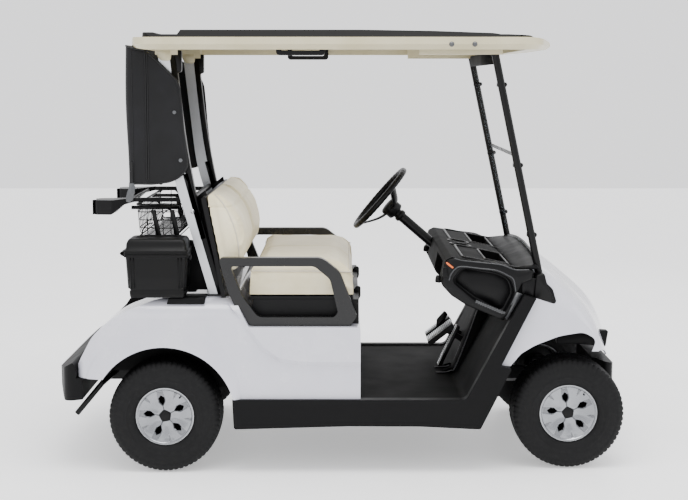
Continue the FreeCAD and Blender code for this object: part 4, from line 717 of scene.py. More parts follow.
# %% Painted shade in the holes, and a cover on each wheel
def darkened(material, attribute, colour):
    """Lays a dull colour over a finish as painted shade, where a value stored in the mesh is one.
    """
    source = shader_of(material).inputs["Base Color"].links[0].from_node
    stored = add(material, "ShaderNodeAttribute", {"attribute_name": attribute})
    mix = add(material, "ShaderNodeMix", {"data_type": "RGBA", 7: linear(colour)},
              [(0, stored, "Fac"), (6, source, "Color")])
    join_up(material, "Base Color", mix, 2)
    for socket, most in (("Metallic", 0.95), ("Coat Weight", 0.6), ("Specular IOR Level", 0.5)):
        shine = add(material, "ShaderNodeMath",
                    {"operation": "MULTIPLY_ADD", 1: -most, 2: most}, [(0, stored, "Fac")])
        join_up(material, socket, shine, "Value")


darkened(wheel_silver, "slot_shade", "020202")
*face_shape, shade_and_dark_centre = cover_face()
for name, centre, out in wheels:
    face = ring_grid("wheel_cover_" + name, round_axle(*face_shape, centre, out))
    shade = face.data.attributes.new("slot_shade", "FLOAT", "POINT")
    shade.data.foreach_set("value", shade_and_dark_centre.ravel())
    wear(face, wheel_silver, "rim_silver", "wheel_" + name)
    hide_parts("rim_" + name)
print("cover faces", len(face.data.polygons))

# %% [markdown]
# Behind the cover sit the rolled steel barrel and the disc that the wheel nuts clamp. Both are
# turned profiles, so each is one closed outline spun about the axle.

# %% Barrel, disc, cap and valve
barrel = np.array([
    (118.6, 77.5), (117.0, 79.5), (113.5, 78.5), (112.0, 71.0), (104.0, 56.0), (101.0, 48.0),
    (101.0, -40.0), (108.0, -62.0), (112.0, -72.0), (113.5, -78.5), (117.0, -79.5),
    (118.6, -77.5), (115.0, -70.0), (111.5, -60.0), (104.0, -38.0), (104.0, 46.0), (108.0, 56.0),
    (115.0, 70.0),
])
disc = np.array([
    (14.4, 52.0), (30.0, 52.0), (38.0, 46.0), (60.0, 50.0), (88.0, 44.0), (101.5, 48.0),
    (101.5, 44.0), (88.0, 39.0), (60.0, 44.0), (39.0, 38.0), (38.0, -18.0), (14.4, -18.0),
])
cap = [(22.5, 66.0), (22.5, 68.0), (21.0, 70.5), (16.0, 72.0), (9.0, 73.0), (3.0, 73.4),
       (0.6, 73.5)]
tube = [(3.8, 0.0), (3.8, 4.0), (3.0, 6.0), (3.0, 13.0), (2.2, 14.0), (0.5, 14.2)]
VALVE_RADIUS, VALVE_DEPTH, VALVE_TURN = 99.0, 70.0, 0.9
for name, centre, out in wheels:
    body, outside = "wheel_" + name, (0, out, 0)
    for label, profile, material in (("barrel", barrel, zinc), ("disc", disc, powder_black)):
        points = round_axle(profile[:, :1], profile[:, 1:], turns(96), centre, out)
        wear(ring_grid(label + "_" + name, points), material, "rim_silver", body)
    wear(set_down("hub_cap_" + name, cap, [centre], outside, 32), satin_black, "trim_black", body)
    stem = round_axle(VALVE_RADIUS, VALVE_DEPTH, VALVE_TURN, centre, out)
    wear(set_down("valve_" + name, tube, [stem], outside, 12), rubber, "rubber_tyre", body)
print("wheel parts", 4 * len(corners))

# %% [markdown]
# ## Seat cushions
# A seat cushion is foam pulled into a sewn vinyl cover, so its faces swell and its edges stay where
# the seams hold them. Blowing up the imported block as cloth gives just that. The block is remeshed
# into small even faces, its underside is pinned, and air pressure with no gravity rounds the rest.

# %% Points of a mesh
def mesh_normals(mesh):
    normals = np.zeros(len(mesh.vertices) * 3)
    mesh.vertex_normals.foreach_get("vector", normals)
    return normals.reshape(-1, 3)


def set_points(mesh, points):
    mesh.vertices.foreach_set("co", points.ravel())
    mesh.update()


def baked(piece):
    """Applies all of a piece's modifiers to its mesh."""
    bpy.context.view_layer.update()
    graph = bpy.context.evaluated_depsgraph_get()
    mesh = bpy.data.meshes.new_from_object(piece.evaluated_get(graph))
    piece.modifiers.clear()
    piece.data = mesh
    shade_smooth(mesh)
    return piece


print("cushion block corners", len(nodes["seat_cushion"].data.vertices))

# %% Swell a packed block as cloth
def swollen(name, node, voxel_mm, cap_mm, pinned, frames=20):
    """Copy of a node's block, blown up as cloth: each point moves by the cap at most."""
    piece = linked(name, nodes[node].data.copy())
    piece.data.materials.clear()
    weld = piece.modifiers.new("merged", "WELD")
    weld.merge_threshold = 0.01 * MM
    remesh = piece.modifiers.new("even_faces", "REMESH")
    remesh.mode = "VOXEL"
    remesh.voxel_size = voxel_mm * MM
    baked(piece)
    start = mesh_points(piece.data) - mesh_normals(piece.data) * cap_mm * 0.45 * MM
    set_points(piece.data, start)
    group = piece.vertex_groups.new(name="held")
    group.add(np.flatnonzero(pinned(start)).tolist(), 1.0, "REPLACE")
    cloth = piece.modifiers.new("swelling", "CLOTH")
    cloth.settings.use_pressure = True
    cloth.settings.uniform_pressure_force = 4.0
    cloth.settings.effector_weights.gravity = 0.0
    cloth.settings.vertex_group_mass = "held"
    for step in range(1, frames + 1):
        bpy.context.scene.frame_set(step)
    graph = bpy.context.evaluated_depsgraph_get()
    move = mesh_points(piece.evaluated_get(graph).data) - start
    length = np.linalg.norm(move, axis=1, keepdims=True)
    most = cap_mm * MM
    share = np.minimum(1.0, most * np.tanh(length / most) / np.maximum(length, 1e-9))
    piece.modifiers.clear()
    piece.vertex_groups.clear()
    set_points(piece.data, start + move * share)
    bpy.context.scene.frame_set(1)
    subdivided = piece.modifiers.new("finer", "SUBSURF")
    subdivided.levels = subdivided.render_levels = 1
    return baked(piece)


# %% [markdown]
# A seam pulls the vinyl down into the foam, so it is pressed in as a soft valley. The seat's
# front edge also hangs a little over its tray, as foam does where nothing holds it up.

# %% Seams and the seat cushion
def groove(piece, distance, width_mm, depth_mm):
    """Presses a seam in: points sink along their normals by a bell of their distance from it."""
    points, normals = mesh_points(piece.data), mesh_normals(piece.data)
    bell = np.exp(-(distance(points) / (width_mm * MM))**2)
    set_points(piece.data, points - normals * (bell * depth_mm * MM)[:, None])


def on_surface(piece, path, lift_mm=0.0):
    """The nearest points of a piece to a path, lifted off it."""
    tree = BVHTree.FromObject(piece, bpy.context.evaluated_depsgraph_get())
    found = [tree.find_nearest(Vector(p)) for p in path]
    return np.array([hit[0] + hit[1] * lift_mm * MM for hit in found])


def upholstered(pad, node, body):
    wear(pad, seat_vinyl, "cream_vinyl", body)
    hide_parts(node)


VOXEL_MM = 7.0
NOSE, NOSE_DROP = 0.11, 0.020
tray_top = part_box("cushion_tray")[1].z
cushion = swollen("seat_cushion_pad", "seat_cushion", VOXEL_MM, 16.0,
                  lambda p: p[:, 2] < tray_top + 0.02)
low, high = box_of("seat_cushion")
points = mesh_points(cushion.data)
points[:, 2] = np.maximum(points[:, 2], low[2] + 0.0005)
front = smooth((points[:, 0] - (high[0] - NOSE)) / NOSE)
rise = smooth((points[:, 2] - low[2]) / (high[2] - low[2]))
points[:, 2] -= NOSE_DROP * front * rise
points[:, 0] = np.minimum(points[:, 0], high[0] + 0.012)
set_points(cushion.data, points)
groove(cushion, lambda p: p[:, 1], 5.0, 5.0)
upholstered(cushion, "seat_cushion", "seat")
print("cushion points", len(cushion.data.vertices))

# %% [markdown]
# The two backrests swell in the same way. Their rear faces are pinned along the lean of the
# shell that carries them, and a seam runs across each near its top.

# %% Back pads
BACK_TOP, BACK_LEAN, SEAM_HEIGHT = 1.132, 0.19, 1.072
pads = {}
for side in ("left", "right"):
    node = "seat_back_" + side
    lo, hi = box_of(node)

    def behind(p, rear=lo[0]):
        return p[:, 0] < rear + (BACK_TOP - p[:, 2]) * BACK_LEAN + 0.022

    pad = pads[node] = swollen(node + "_pad", node, VOXEL_MM, 12.0, behind)
    points = mesh_points(pad.data)
    points[:, 1] = np.clip(points[:, 1], lo[1] - 0.004, hi[1] + 0.004)
    set_points(pad.data, points)
    groove(pad, lambda p: p[:, 2] - SEAM_HEIGHT, 5.0, 5.0)
    upholstered(pad, node, "chassis")
print("pad points", len(pad.data.vertices))

# %% [markdown]
# The cover's panels are joined over a welt, a thin cord in a strip of the same vinyl. Each welt is
# a round section carried along a line that is laid on the swollen pad, so it follows every bulge.

# %% Welts
def welt(name, piece, path, radius_mm, body, closed=True):
    """A cord on a pad; the line of a closed one is evened out three times."""
    line = on_surface(piece, path, radius_mm * 0.35)
    for _ in range(3 if closed else 0):
        line = (np.roll(line, 1, 0) + 2 * line + np.roll(line, -1, 0)) / 4
    bead = sweep(name, line, circle(radius_mm), up=(0.13, 0.21, 1.0), closed=closed)
    return wear(bead, welt_vinyl, "cream_vinyl", body)


def loop(x0, x1, y0, y1, radius, count=14):
    """Rounded rectangle in plan with evenly filled sides, as an array of x and y."""
    parts = rectangle(x0, x1, y0, y1, radius, count).reshape(4, count, 2)
    side = np.linspace(0, 1, 40)[1:-1, None]
    return np.concatenate([np.concatenate([part, part[-1] + (following[0] - part[-1]) * side])
                           for part, following in zip(parts, np.roll(parts, -1, 0))])


ring = loop(low[0] - 0.004, high[0] + 0.004, low[1] - 0.004, high[1] + 0.004, 0.05)
edge_height = np.full((len(ring), 1), high[2] - 0.030)
welt("cushion_top_welt", cushion, np.hstack([ring, edge_height]), 3.4, "seat")
pad_side = curve_through([(206, 1124), (243, 1078), (274, 1008), (292, 940), (300, 876),
                          (292, 824)], 40)
for node, pad in pads.items():
    lo, hi = box_of(node)
    sign, ends = np.sign(lo[1] + hi[1]), np.abs([lo[1], hi[1]])
    for label, y in (("inner", ends.min() + 0.006), ("outer", ends.max() - 0.006)):
        path = at(pad_side[:, 0], 0.0, pad_side[:, 1]) + np.array([0.0, sign * y, 0.0])
        name = node.replace("seat_back", "back_welt_" + label)
        welt(name, pad, path, 3.0, "chassis", closed=False)
print("welts", 1 + 2 * len(pads))

# %% [markdown]
# ## Bag cover
# Behind the struts hangs a cover of coated cloth that keeps rain off the golf bags. Its two side
# panels and its back are one curved sheet, so one grid makes it. A column of the grid stands at one
# place round the cover, and its top and bottom come from the cut of the cloth. Slow ripples, deeper
# at the free edges, show that it hangs.

# %% Cut and plan of the cover
cover_low, cover_high = box_of("bag_cover")
half = cover_high[1] / MM - 6.0
rear = station(cover_low[0]) + 6.0
FRONT_EDGE, BACK_CORNER, EDGE_COLUMNS, BACK_COLUMNS = 94.0, 24.0, 46, 60
top_cut = np.array([(-152, 1716), (-135, 1709), (-110, 1701), (-70, 1695), (-58, 1684),
                    (-20, 1652), (30, 1604), (56, 1577), (67, 1550), (74, 1470), (80, 1381),
                    (88, 1300), (FRONT_EDGE, 1247)])
bottom_cut = np.array([(-152, 1163), (-100, 1164), (-50, 1163), (-18, 1166), (20, 1172),
                       (45, 1181), (70, 1198), (88, 1220), (FRONT_EDGE, 1240)])


def cover_column():
    """Stations and sides round the cover: out from one front edge, round the back and home."""
    r = BACK_CORNER
    u = np.linspace(0, 1, EDGE_COLUMNS)
    side = rear + r + (FRONT_EDGE - rear - r) * (1 - (1 - u)**1.7)
    t = np.linspace(0, np.pi / 2, 8)[1:-1]
    corner = np.stack([rear + r - r * np.sin(t), half - r + r * np.cos(t)], -1)
    edge = np.stack([side[::-1], np.full(EDGE_COLUMNS, half)], -1)
    back = np.stack([np.full(BACK_COLUMNS, rear),
                     np.linspace(half - r, r - half, BACK_COLUMNS)], -1)
    return np.concatenate([edge, corner, back, corner[::-1] * [1, -1], edge[::-1] * [1, -1]])


print("columns round the cover", len(cover_column()))

# %% Hung cover
def cover_points(rows=60):
    """The sheet's points, pushed outward by two ripples along the run and a slight belly."""
    plan = cover_column()
    s, y = plan.T
    top, bottom = np.interp(s, *top_cut.T), np.interp(s, *bottom_cut.T)
    v = np.linspace(0, 1, rows)[:, None]
    z = bottom + (top - bottom) * v
    tangent = unit(np.gradient(plan, axis=0))
    out = np.stack([-tangent[:, 1], tangent[:, 0]], -1)
    out *= np.sign((out * (plan - [60.0, 0.0])).sum(1))[:, None]
    run = np.concatenate([[0], np.cumsum(np.linalg.norm(np.diff(plan, axis=0), axis=1))])
    ripple = 3.2 * np.sin(run / 52.0 + 1.6 * np.sin(z / 150.0))
    ripple += 1.6 * np.sin(run / 23.0 - z / 90.0)
    push = np.clip(ripple * (1.0 - 0.7 * v) + 3.0 * np.sin(np.pi * v), -5.0, 5.5)
    return at(s + out[:, 0] * push, y + out[:, 1] * push, z)


sheet = cover_points()
cover = grid("hung_bag_cover", sheet)
thick = cover.modifiers.new("cloth_thickness", "SOLIDIFY")
thick.thickness = 2.6 * MM
thick.offset = 0.0
wear(cover, cover_cloth, "cover_vinyl")
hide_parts("bag_cover")

# %% [markdown]
# A cut cloth frays, so its edges are bound with tape, and its panels meet in welted seams. Each
# is a thin cord swept along a row or a column of the sheet's own points, so it can't drift off.

# %% Bound edges, seams and snaps of the cover
def piping(name, line, radius_mm, up):
    return wear(sweep(name, line, circle(radius_mm), up=up), cover_piping, "cover_vinyl")


for name, line in (("cover_bottom_binding", sheet[0]), ("cover_top_binding", sheet[-1]),
                   ("far_front_binding", sheet[:, 0]), ("near_front_binding", sheet[:, -1])):
    piping(name, line, 4.2, (0.31, 0.22, 1.0))
edge_stations = cover_column()[:EDGE_COLUMNS, 0]
for place, radius in ((-126.0, 1.8), (-69.0, 3.4), (-58.0, 3.4)):
    nearest = int(np.abs(edge_stations - place).argmin())
    for column in (nearest, sheet.shape[1] - 1 - nearest):
        proud = np.array([0.0, np.sign(sheet[0, column, 1]) * 1.5 * MM, 0.0])
        piping("cover_welt_%d" % column, sheet[:, column] + proud, radius, (1.0, 0.2, 0.1))
snap = [(8.0, 0.0), (8.0, 1.2), (6.2, 2.6), (4.0, 3.0), (3.2, 2.2), (0.6, 2.0)]
places = [at(s, y, z) for y in (half + 6.5, -half - 6.5)
          for s, z in ((46.0, 1450.0), (68.0, 1258.0))]
facing = [(0.0, np.sign(place[1]), 0.0) for place in places]
snaps = wear(set_down("cover_snaps", snap, places, facing, 16), smoked_buckle, "strut_silver")
print("snaps", len(places))

# %% [markdown]
# ## Wire basket
# The sweater basket is welded from steel wire: a heavy rim, lighter hoops round the sides, and bars
# that run down one side, under the floor and up the other. Each wire is a path, and one function
# carries a round section along all of them and puts them in a single mesh.

# %% Wires
def bundle(name, paths, radii_mm, sides=8, closed=False, up=(0.2, 0.3, 1.0)):
    """Many swept wires as one mesh: each one's faces count on from the last one's points."""
    points, faces, start = [], [], 0
    for path, radius in zip(paths, np.broadcast_to(radii_mm, len(paths))):
        wire = sweep_points(path, circle(radius, sides), up, closed)
        rows = len(wire)
        faces += (grid_faces(rows, sides, closed, True) + start).tolist()
        if not closed:
            faces.append([start + k for k in range(sides)][::-1])
            faces.append([start + (rows - 1) * sides + k for k in range(sides)])
        points.append(wire.reshape(-1, 3))
        start += rows * sides
    return outward(new_mesh(name, np.concatenate(points), faces))


b_low, b_high = box_of("basket")
x0, y0, z0 = b_low + (0.002, 0.002, 0.003)
x1, y1, z1 = b_high - (0.002, 0.002, 0.004)
TAPER = 0.010


def hoop(z, inset):
    plan = rectangle(x0 + inset, x1 - inset, y0 + inset, y1 - inset, 0.035)
    return np.column_stack([plan, np.full(len(plan), z)])


def bar(*bends):
    return rounded(bends, 0.025, 7, closed=False)


hoops = [hoop(z1, 0.0)]
hoops += [hoop(z, TAPER * (z1 - z) / (z1 - z0)) for z in np.linspace(z1 - 0.03, z0, 4)]
wear(bundle("basket_hoops", hoops, [4.0, 2.0, 2.0, 2.0, 2.6], closed=True), powder_black,
     "wire_black")
bars = [bar((x0, y, z1), (x0 + TAPER, y, z0), (x1 - TAPER, y, z0), (x1, y, z1))
        for y in np.linspace(y0 + 0.045, y1 - 0.045, 19)]
bars += [bar((x, y0, z1), (x, y0 + TAPER, z0), (x, y1 - TAPER, z0), (x, y1, z1))
         for x in np.linspace(x0 + 0.045, x1 - 0.045, 4)]
basket = wear(bundle("basket_bars", bars, 1.9, up=(0.31, 0.2, 0.05)), powder_black, "wire_black")
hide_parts("basket")
print("wires", len(bars) + len(hoops))

# %% [markdown]
# ## Cooler box
# The drinks box and its lid are thin moulded shells. Each is a stack of rounded rectangles: up the
# outside, over the rim and down the inside, so one closed grid gives wall, rim and floor.

# %% Moulded box and lid
def stacked(name, rows, steps=6):
    """Closed shell through rounded rectangles of (height, x0, x1, y0, y1, radius) in mm."""
    plans = [(rectangle(*sides, steps), z) for z, *sides in rows]
    return grid(name, [at(*plan.T, z) for plan, z in plans], wrap_columns=True, caps=True)


def rows_from(box, rows):
    """Rows of (height, inset, radius) inside a node's box, as rectangles."""
    x0, x1, y0, y1 = box
    return [(z, x0 + i, x1 - i, y0 + i, y1 - i, r) for z, i, r in rows]


BOX_LENGTH, HINGE_ROOM = 246.0, 6.0
lid_low, lid_high = box_of("cooler_lid")
box_low, box_high = box_of("cooler_box")
hinge = joints["cooler_lid_open"]["pos_m"]
rim = hinge[2] / MM
front = station(lid_high[0]) - HINGE_ROOM
tub = (front - BOX_LENGTH, front, box_low[1] / MM, box_high[1] / MM)
base = box_low[2] / MM + 10.0
outside = [(base, 24, 14), (base, 17, 14), (base + 4, 14, 14), (base + 26, 12.5, 14),
           (base + 28, 15, 14), (base + 33, 15, 14), (base + 36, 12, 14), (base + 90, 7, 14),
           (rim - 20, 2.5, 14), (rim - 14, 2, 14), (rim - 13, -4.5, 15), (rim - 8, -5.5, 15),
           (rim - 6.5, -3, 15), (rim - 4.5, -3, 15), (rim - 3, -5.0, 15), (rim - 0.5, -4, 15),
           (rim - 0.3, 5, 10)]
inside = [(rim - 3, 6.5, 10), (base + 90, 12, 10), (base + 14, 17, 10), (base + 7, 24, 10)]
cooler = stacked("moulded_cooler_box", rows_from(tub, outside + inside))
wear(cooler, box_black, "black_plastic")
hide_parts("cooler_box")
top = lid_high[2] / MM
lid_rows = [(top - 12, 40, 20), (top - 12, 26, 14), (rim + 16, 12, 12), (rim + 2, 9, 12),
            (rim + 0.5, 7, 12), (rim + 0.5, -4, 15), (rim + 3, -5.5, 15), (rim + 6, -3, 15),
            (rim + 8, -3, 15), (rim + 10, -5.5, 15), (rim + 14, -4.5, 15), (rim + 16, 2, 15),
            (rim + 40, 4.5, 15), (top - 9, 9, 17), (top - 3, 14, 18), (top - 1, 22, 18),
            (top - 0.6, 44, 18), (top - 3.0, 47, 16), (top - 3.0, 60, 12)]
lid = stacked("moulded_cooler_lid", rows_from(tub, lid_rows))
wear(lid, box_black, "black_plastic", "cooler_lid")
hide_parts("cooler_lid")
print("box", tub, "rim", round(rim, 1))

# %% [markdown]
# Ribs stiffen the thin corners, and the lid turns on a steel pin in knuckles at its rear edge.
# They are short round bars, so the wires' function makes them too.

# %% Ribs, hinge and latch of the box
x0, x1, y0, y1 = tub
rib_ends = [base + 38, rim - 16]
ribs = []
for x in (x0 + 22, x0 + 34, x1 - 34, x1 - 22):
    ribs += [at(x, [y + inset * 11, y + inset * 3.5], rib_ends) for y, inset in ((y0, 1), (y1, -1))]
for y in (y0 + 22, y0 + 34, y1 - 34, y1 - 22):
    ribs += [at([x + inset * 11, x + inset * 3.5], y, rib_ends) for x, inset in ((x0, 1), (x1, -1))]
wear(bundle("cooler_corner_ribs", ribs, 3.2), box_black, "black_plastic")
pin = station(hinge[0])
pins = [at(pin, ends, rim) for ends in ([y0 + 20, y0 + 50], [y1 - 50, y1 - 20], [y0 + 20, y1 - 20])]
wear(bundle("cooler_hinge_pin", pins, [6.5, 6.5, 3.6], 16), powder_black, "black_plastic")
leaf = [at([pin, pin + 12], y, [rim - 4, rim - 9]) for y in (y0 + 26, y0 + 44, y1 - 44, y1 - 26)]
wear(bundle("cooler_hinge_leaves", leaf, 5.0, 12), powder_black, "black_plastic")
knuckle = [at(pin, [y0 + 52, y1 - 52], rim)]
knuckle += [at([pin, pin + 12], y, [rim + 4, rim + 6]) for y in (y0 + 60, y1 - 60)]
wear(bundle("cooler_lid_knuckle", knuckle, [6.5, 4.5, 4.5], 16), powder_black, "black_plastic",
     "cooler_lid")
middle = (y0 + y1) / 2
latch = stacked("cooler_latch", [
    (rim + z, front - 2, front + reach, middle - wide, middle + wide, 2.5)
    for z, reach, wide in ((-34, 7, 12), (-30, 9, 14), (-16, 9, 14), (-14, 7, 13))], 4)
wear(latch, satin_black, "black_plastic")
print("box ribs", len(ribs))

# %% [markdown]
# ## Steering wheel
# The rim is a torus with shallow finger waves, and three broad dished spokes run down to a deep
# hub. Everything is worked out in the wheel's own directions, which tip back with the column, and
# turned into the cart's frame at the end.

# %% Rim, spokes and hub
wheel_joint = joints["steering_wheel_turn"]
hub_point = np.array(wheel_joint["pos_m"])
wheel_axis = unit(np.array(wheel_joint["axis"]))
wheel_across = np.array([0.0, 1.0, 0.0])
wheel_up = np.cross(wheel_axis, wheel_across)
RIM_RADIUS, RIM_HEIGHT, RIM_POINTS, SPOKE_POINTS = 165.0, 82.0, 180, 24


def on_wheel(a, b, h):
    """Points from across, up and along the steering axis, in mm from the hub."""
    a, b, h = (np.asarray(v, float)[..., None] * MM for v in np.broadcast_arrays(a, b, h))
    return hub_point + a * wheel_across + b * wheel_up + h * wheel_axis


t = turns(RIM_POINTS)
rim_line = on_wheel(RIM_RADIUS * np.cos(t), RIM_RADIUS * np.sin(t), RIM_HEIGHT)
rim_piece = sweep("steering_rim", rim_line, circle(13.2, 14), up=wheel_axis, closed=True,
                  scale=1.0 + 0.035 * np.cos(40 * t))
wear(rim_piece, satin_black, "trim_black", "steering_wheel")
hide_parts("steering_wheel")
t = turns(16)
oval = np.stack([22.0 * np.cos(t), 5.5 * np.sin(t)], -1) * MM
reach, lift = curve_through([(24.0, 14.0), (50.0, 16.0), (84.0, 30.0), (122.0, 54.0),
                             (150.0, 74.0), (160.0, 80.0)], SPOKE_POINTS).T
slim = np.interp(np.linspace(0, 1, SPOKE_POINTS), [0, 0.5, 1], [1.25, 0.85, 0.8])
for k, angle in enumerate((90.0, 210.0, 330.0)):
    a = math.radians(angle)
    path = on_wheel(reach * math.cos(a), reach * math.sin(a), lift)
    spoke = sweep("steering_spoke_%d" % k, path, oval, up=wheel_axis, scale=slim)
    wear(spoke, satin_black, "trim_black", "steering_wheel")
hub = [(10.0, -30.0), (34.0, -20.0), (40.0, -14.0), (40.0, 12.0), (44.0, 24.0), (42.0, 33.0),
       (34.0, 38.0), (20.0, 40.5), (6.0, 41.0), (0.6, 41.0)]
wear(set_down("steering_hub", hub, [hub_point], wheel_axis, 40), satin_black, "trim_black",
     "steering_wheel")
collar = [(24.5, -52.0), (27.5, -50.0), (28.5, -40.0), (26.0, -32.0), (23.0, -31.5),
          (0.6, -31.2)]
wear(set_down("column_collar", collar, [hub_point], wheel_axis, 32), satin_black, "steel_black")
print("steering wheel pieces", 6)

# %% [markdown]
# ## Dash
# The dash's side is one closed shell of rings, each a rounded outline read off by angle about one
# middle point: the floor of the side pocket, its steep wall, the rim, the flat face and the outer
# edge, then back again underneath. The lower left of the face falls away as a facet, so that part
# of the outer ring lies deeper.

# %% Outlines read off by angle
SHELL_MIDDLE = np.array([1290.0, 752.0])
angles = turns(160, -np.pi)
to_lower_left = np.clip(np.cos(angles - math.radians(-140.0)) * 1.6 - 0.5, 0, 1)


def by_angle(outline, radius, grow):
    """Points of a rounded outline, grown outward, where rays from the middle cross it."""
    ring = rounded(outline, radius, 8)
    to_next = np.roll(ring, -1, 0) - ring
    away = np.concatenate([ring + to_next * f for f in (0.0, 0.2, 0.4, 0.6, 0.8)]) - SHELL_MIDDLE
    around = np.arctan2(away[:, 1], away[:, 0])
    order = np.argsort(around)
    reach = np.interp(angles, around[order], np.hypot(*away.T)[order], period=2 * np.pi) + grow
    return SHELL_MIDDLE + np.stack([reach * np.cos(angles), reach * np.sin(angles)], -1)


print("rays", len(angles))

# %% Side pockets
# Each ring: outline, corner radius, growth, distance past the dash's box, fall at the lower left.
pocket = [(1190, 838), (1333, 822), (1394, 790), (1412, 731), (1368, 644), (1243, 699),
          (1149, 784)]
face_edge = [(1156, 874), (1131, 862), (1113, 768), (1156, 724), (1213, 687), (1360, 625),
             (1380, 648), (1434, 776), (1474, 784), (1478, 825), (1408, 826), (1358, 845)]
rings = [(pocket, 24, -16.0, -32.0, 0.0), (pocket, 24, -12.0, -35.0, 0.0),
         (pocket, 22, -8.0, -6.0, 0.0), (pocket, 22, -4.0, 8.0, 0.0), (pocket, 22, 0.0, 11.0, 0.0),
         (pocket, 22, 5.0, 12.0, 0.0), (face_edge, 12, -3.0, 12.0, 9.0),
         (face_edge, 12, 0.0, 9.0, 7.0), (face_edge, 12, 0.0, 1.0, 0.0),
         (pocket, 20, 2.0, 1.0, 0.0), (pocket, 20, -3.0, -36.0, 0.0)]
arc = curve_through([(1143, 784), (1150, 809), (1167, 831), (1192, 841), (1271, 833), (1334, 825),
                     (1376, 806), (1400, 788), (1410, 740)], 60)
brow = curve_through([(1164, 873), (1204, 864), (1300, 854), (1356, 846), (1406, 828),
                      (1462, 828)], 40)
facet_x, facet_z = rounded([(1413, 738), (1437, 730), (1376, 622), (1368, 636)], 3.0, 3).T
run = np.linspace(0, 1, 80)
dash_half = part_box("dash")[1][1] / MM
for side, sign in SIDES:
    rows = []
    for outline, radius, grow, out, fall in rings:
        x, z = by_angle(outline, radius, grow).T
        rows.append(at(x, sign * (dash_half + out - fall * to_lower_left), z))
    shell = grid("dash_pocket_" + side, rows, wrap_columns=True, caps=True)
    wear(shell, satin_black, "trim_black")
    # The beads, the ribbed ledge and the facet are painted grey: painted highlights where the black
    # trim's edges and facet catch the light.
    beads = [at(line[:, 0], sign * (dash_half + out), line[:, 1])
             for line, out in ((arc, 12.0), (brow, 10.5))]
    wear(bundle("dash_beads_" + side, beads, [2.6, 2.2]), painted_highlight_trim, "trim_black")
    ledge = at(1250 + 120 * run, sign * (dash_half + 6.0), 699 - 50 * run)
    lip = sweep("dash_ledge_" + side, ledge, bar_section(7.0, 5.0, 2.0), up=(0, 1, 0),
                scale=1.0 + 0.10 * np.sign(np.sin(run * 80)))
    wear(lip, painted_highlight_trim, "trim_black")
    tilt = np.interp(facet_x, [1368, 1437], [9.0, 16.0])
    rows = [at(facet_x, sign * (dash_half + out), facet_z) for out in (6.0, tilt)]
    facet = grid("dash_facet_" + side, rows, wrap_columns=True, caps=True)
    wear(facet, painted_highlight_trim, "trim_black")
print("dash shells", len(rings), "rings")

# %% [markdown]
# Brackets, clamps and panels are flat parts with softened edges. Each is drawn as an outline
# seen from the side and given a width, and most come in pairs, mirrored about the middle.

# %% Plates cut from side outlines
def slab(name, outline, y0, y1, radius=5.0, edge=1.5, steps=4):
    """Plate between two sides whose outline's corners and edges are rounded."""
    ring = rounded(outline, radius, steps)
    along = np.roll(ring, -1, 0) - np.roll(ring, 1, 0)
    along /= np.maximum(np.linalg.norm(along, axis=1, keepdims=True), 1e-9)
    normal = np.stack([along[:, 1], -along[:, 0]], -1)
    x, z = ring.T
    turn = np.sign((x * np.roll(z, -1) - z * np.roll(x, -1)).sum())
    small = ring - normal * turn * edge
    y0, y1 = sorted((y0, y1))
    rows = [(small, y0), (ring, y0 + edge), (ring, y1 - edge), (small, y1)]
    return grid(name, [at(p[:, 0], y, p[:, 1]) for p, y in rows], wrap_columns=True, caps=True)


def both_sides(name, outline, y0, y1, material, slot, radius=5.0, edge=1.5):
    """The same plate on the far side and, mirrored, on the near side."""
    for side, sign in SIDES:
        plate = slab(name + "_" + side, outline, sign * y0, sign * y1, radius, edge)
        wear(plate, material, slot)


# %% [markdown]
# The near end of the dash carries an orange reflector and a switch plate. The wells and cups in
# its top have rolled rims, which are round bars laid on the top's own height.

# %% Switches, cups and trays of the dash
def dash_top(s):
    """Height of the dash's top at a station, between four measured places."""
    return np.interp(s, [1154, 1360, 1409, 1480], [877, 847, 828, 828])


def rim_path(plan, lift):
    """A plan in mm laid on the dash's top and lifted off it."""
    return at(plan[:, 0], plan[:, 1], dash_top(plan[:, 0]) + lift)


orange = slab("dash_reflector", [(1129, 859), (1132, 851), (1156, 833), (1161, 838), (1136, 858)],
              -dash_half - 9.0, -dash_half - 15.0, 2.0, 1.0)
wear(orange, signal_orange, "trim_black")
switch = slab("dash_switch", [(1119, 838), (1134, 838), (1141, 800), (1114, 796)],
              -dash_half - 8.0, -dash_half - 15.0, 3.0, 1.5)
wear(switch, box_black, "trim_black")
knob = [(11.0, -6.0), (11.0, 0.0), (15.0, 2.0), (15.5, 18.0), (13.5, 22.0), (9.0, 23.0),
        (0.6, 23.2)]
places = at(1118.0, [-470.0, 360.0], [774.0, 796.0])
wear(set_down("dash_knobs", knob, places, (-1, 0, 0.2), 18), satin_black, "trim_black")
rims = [rim_path(rectangle(1296.0, 1392.0, y0 - 4, y1 + 4, 10, 4), 1.0)
        for y0, y1 in ((-470.0, -150.0), (120.0, 470.0))]
rims += [rim_path(rectangle(1200.0, 1440.0, y0, y1, 26), 2.0)
         for y0, y1 in ((-520.0, -110.0), (95.0, 520.0))]
rims += [rim_path(circle(r, 40) / MM + [1230.0, y], 1.5)
         for y in (-60.0, 60.0) for r in (42.0, 46.0)]
thickness = [4.0] * 2 + [5.0] * 2 + [3.0] * 4
dash_rims = bundle("dash_top_rims", rims, thickness, closed=True, up=(0.1, 0.2, 1.0))
wear(dash_rims, satin_black, "trim_black")
print("dash rims", len(rims))

# %% [markdown]
# ## Struts, brackets and the windshield's frame
# Black sleeves wrap the front of the silver rear struts, and the front struts stand in cast feet.
# Each is a side outline given its width, with the corners and edges rounded.

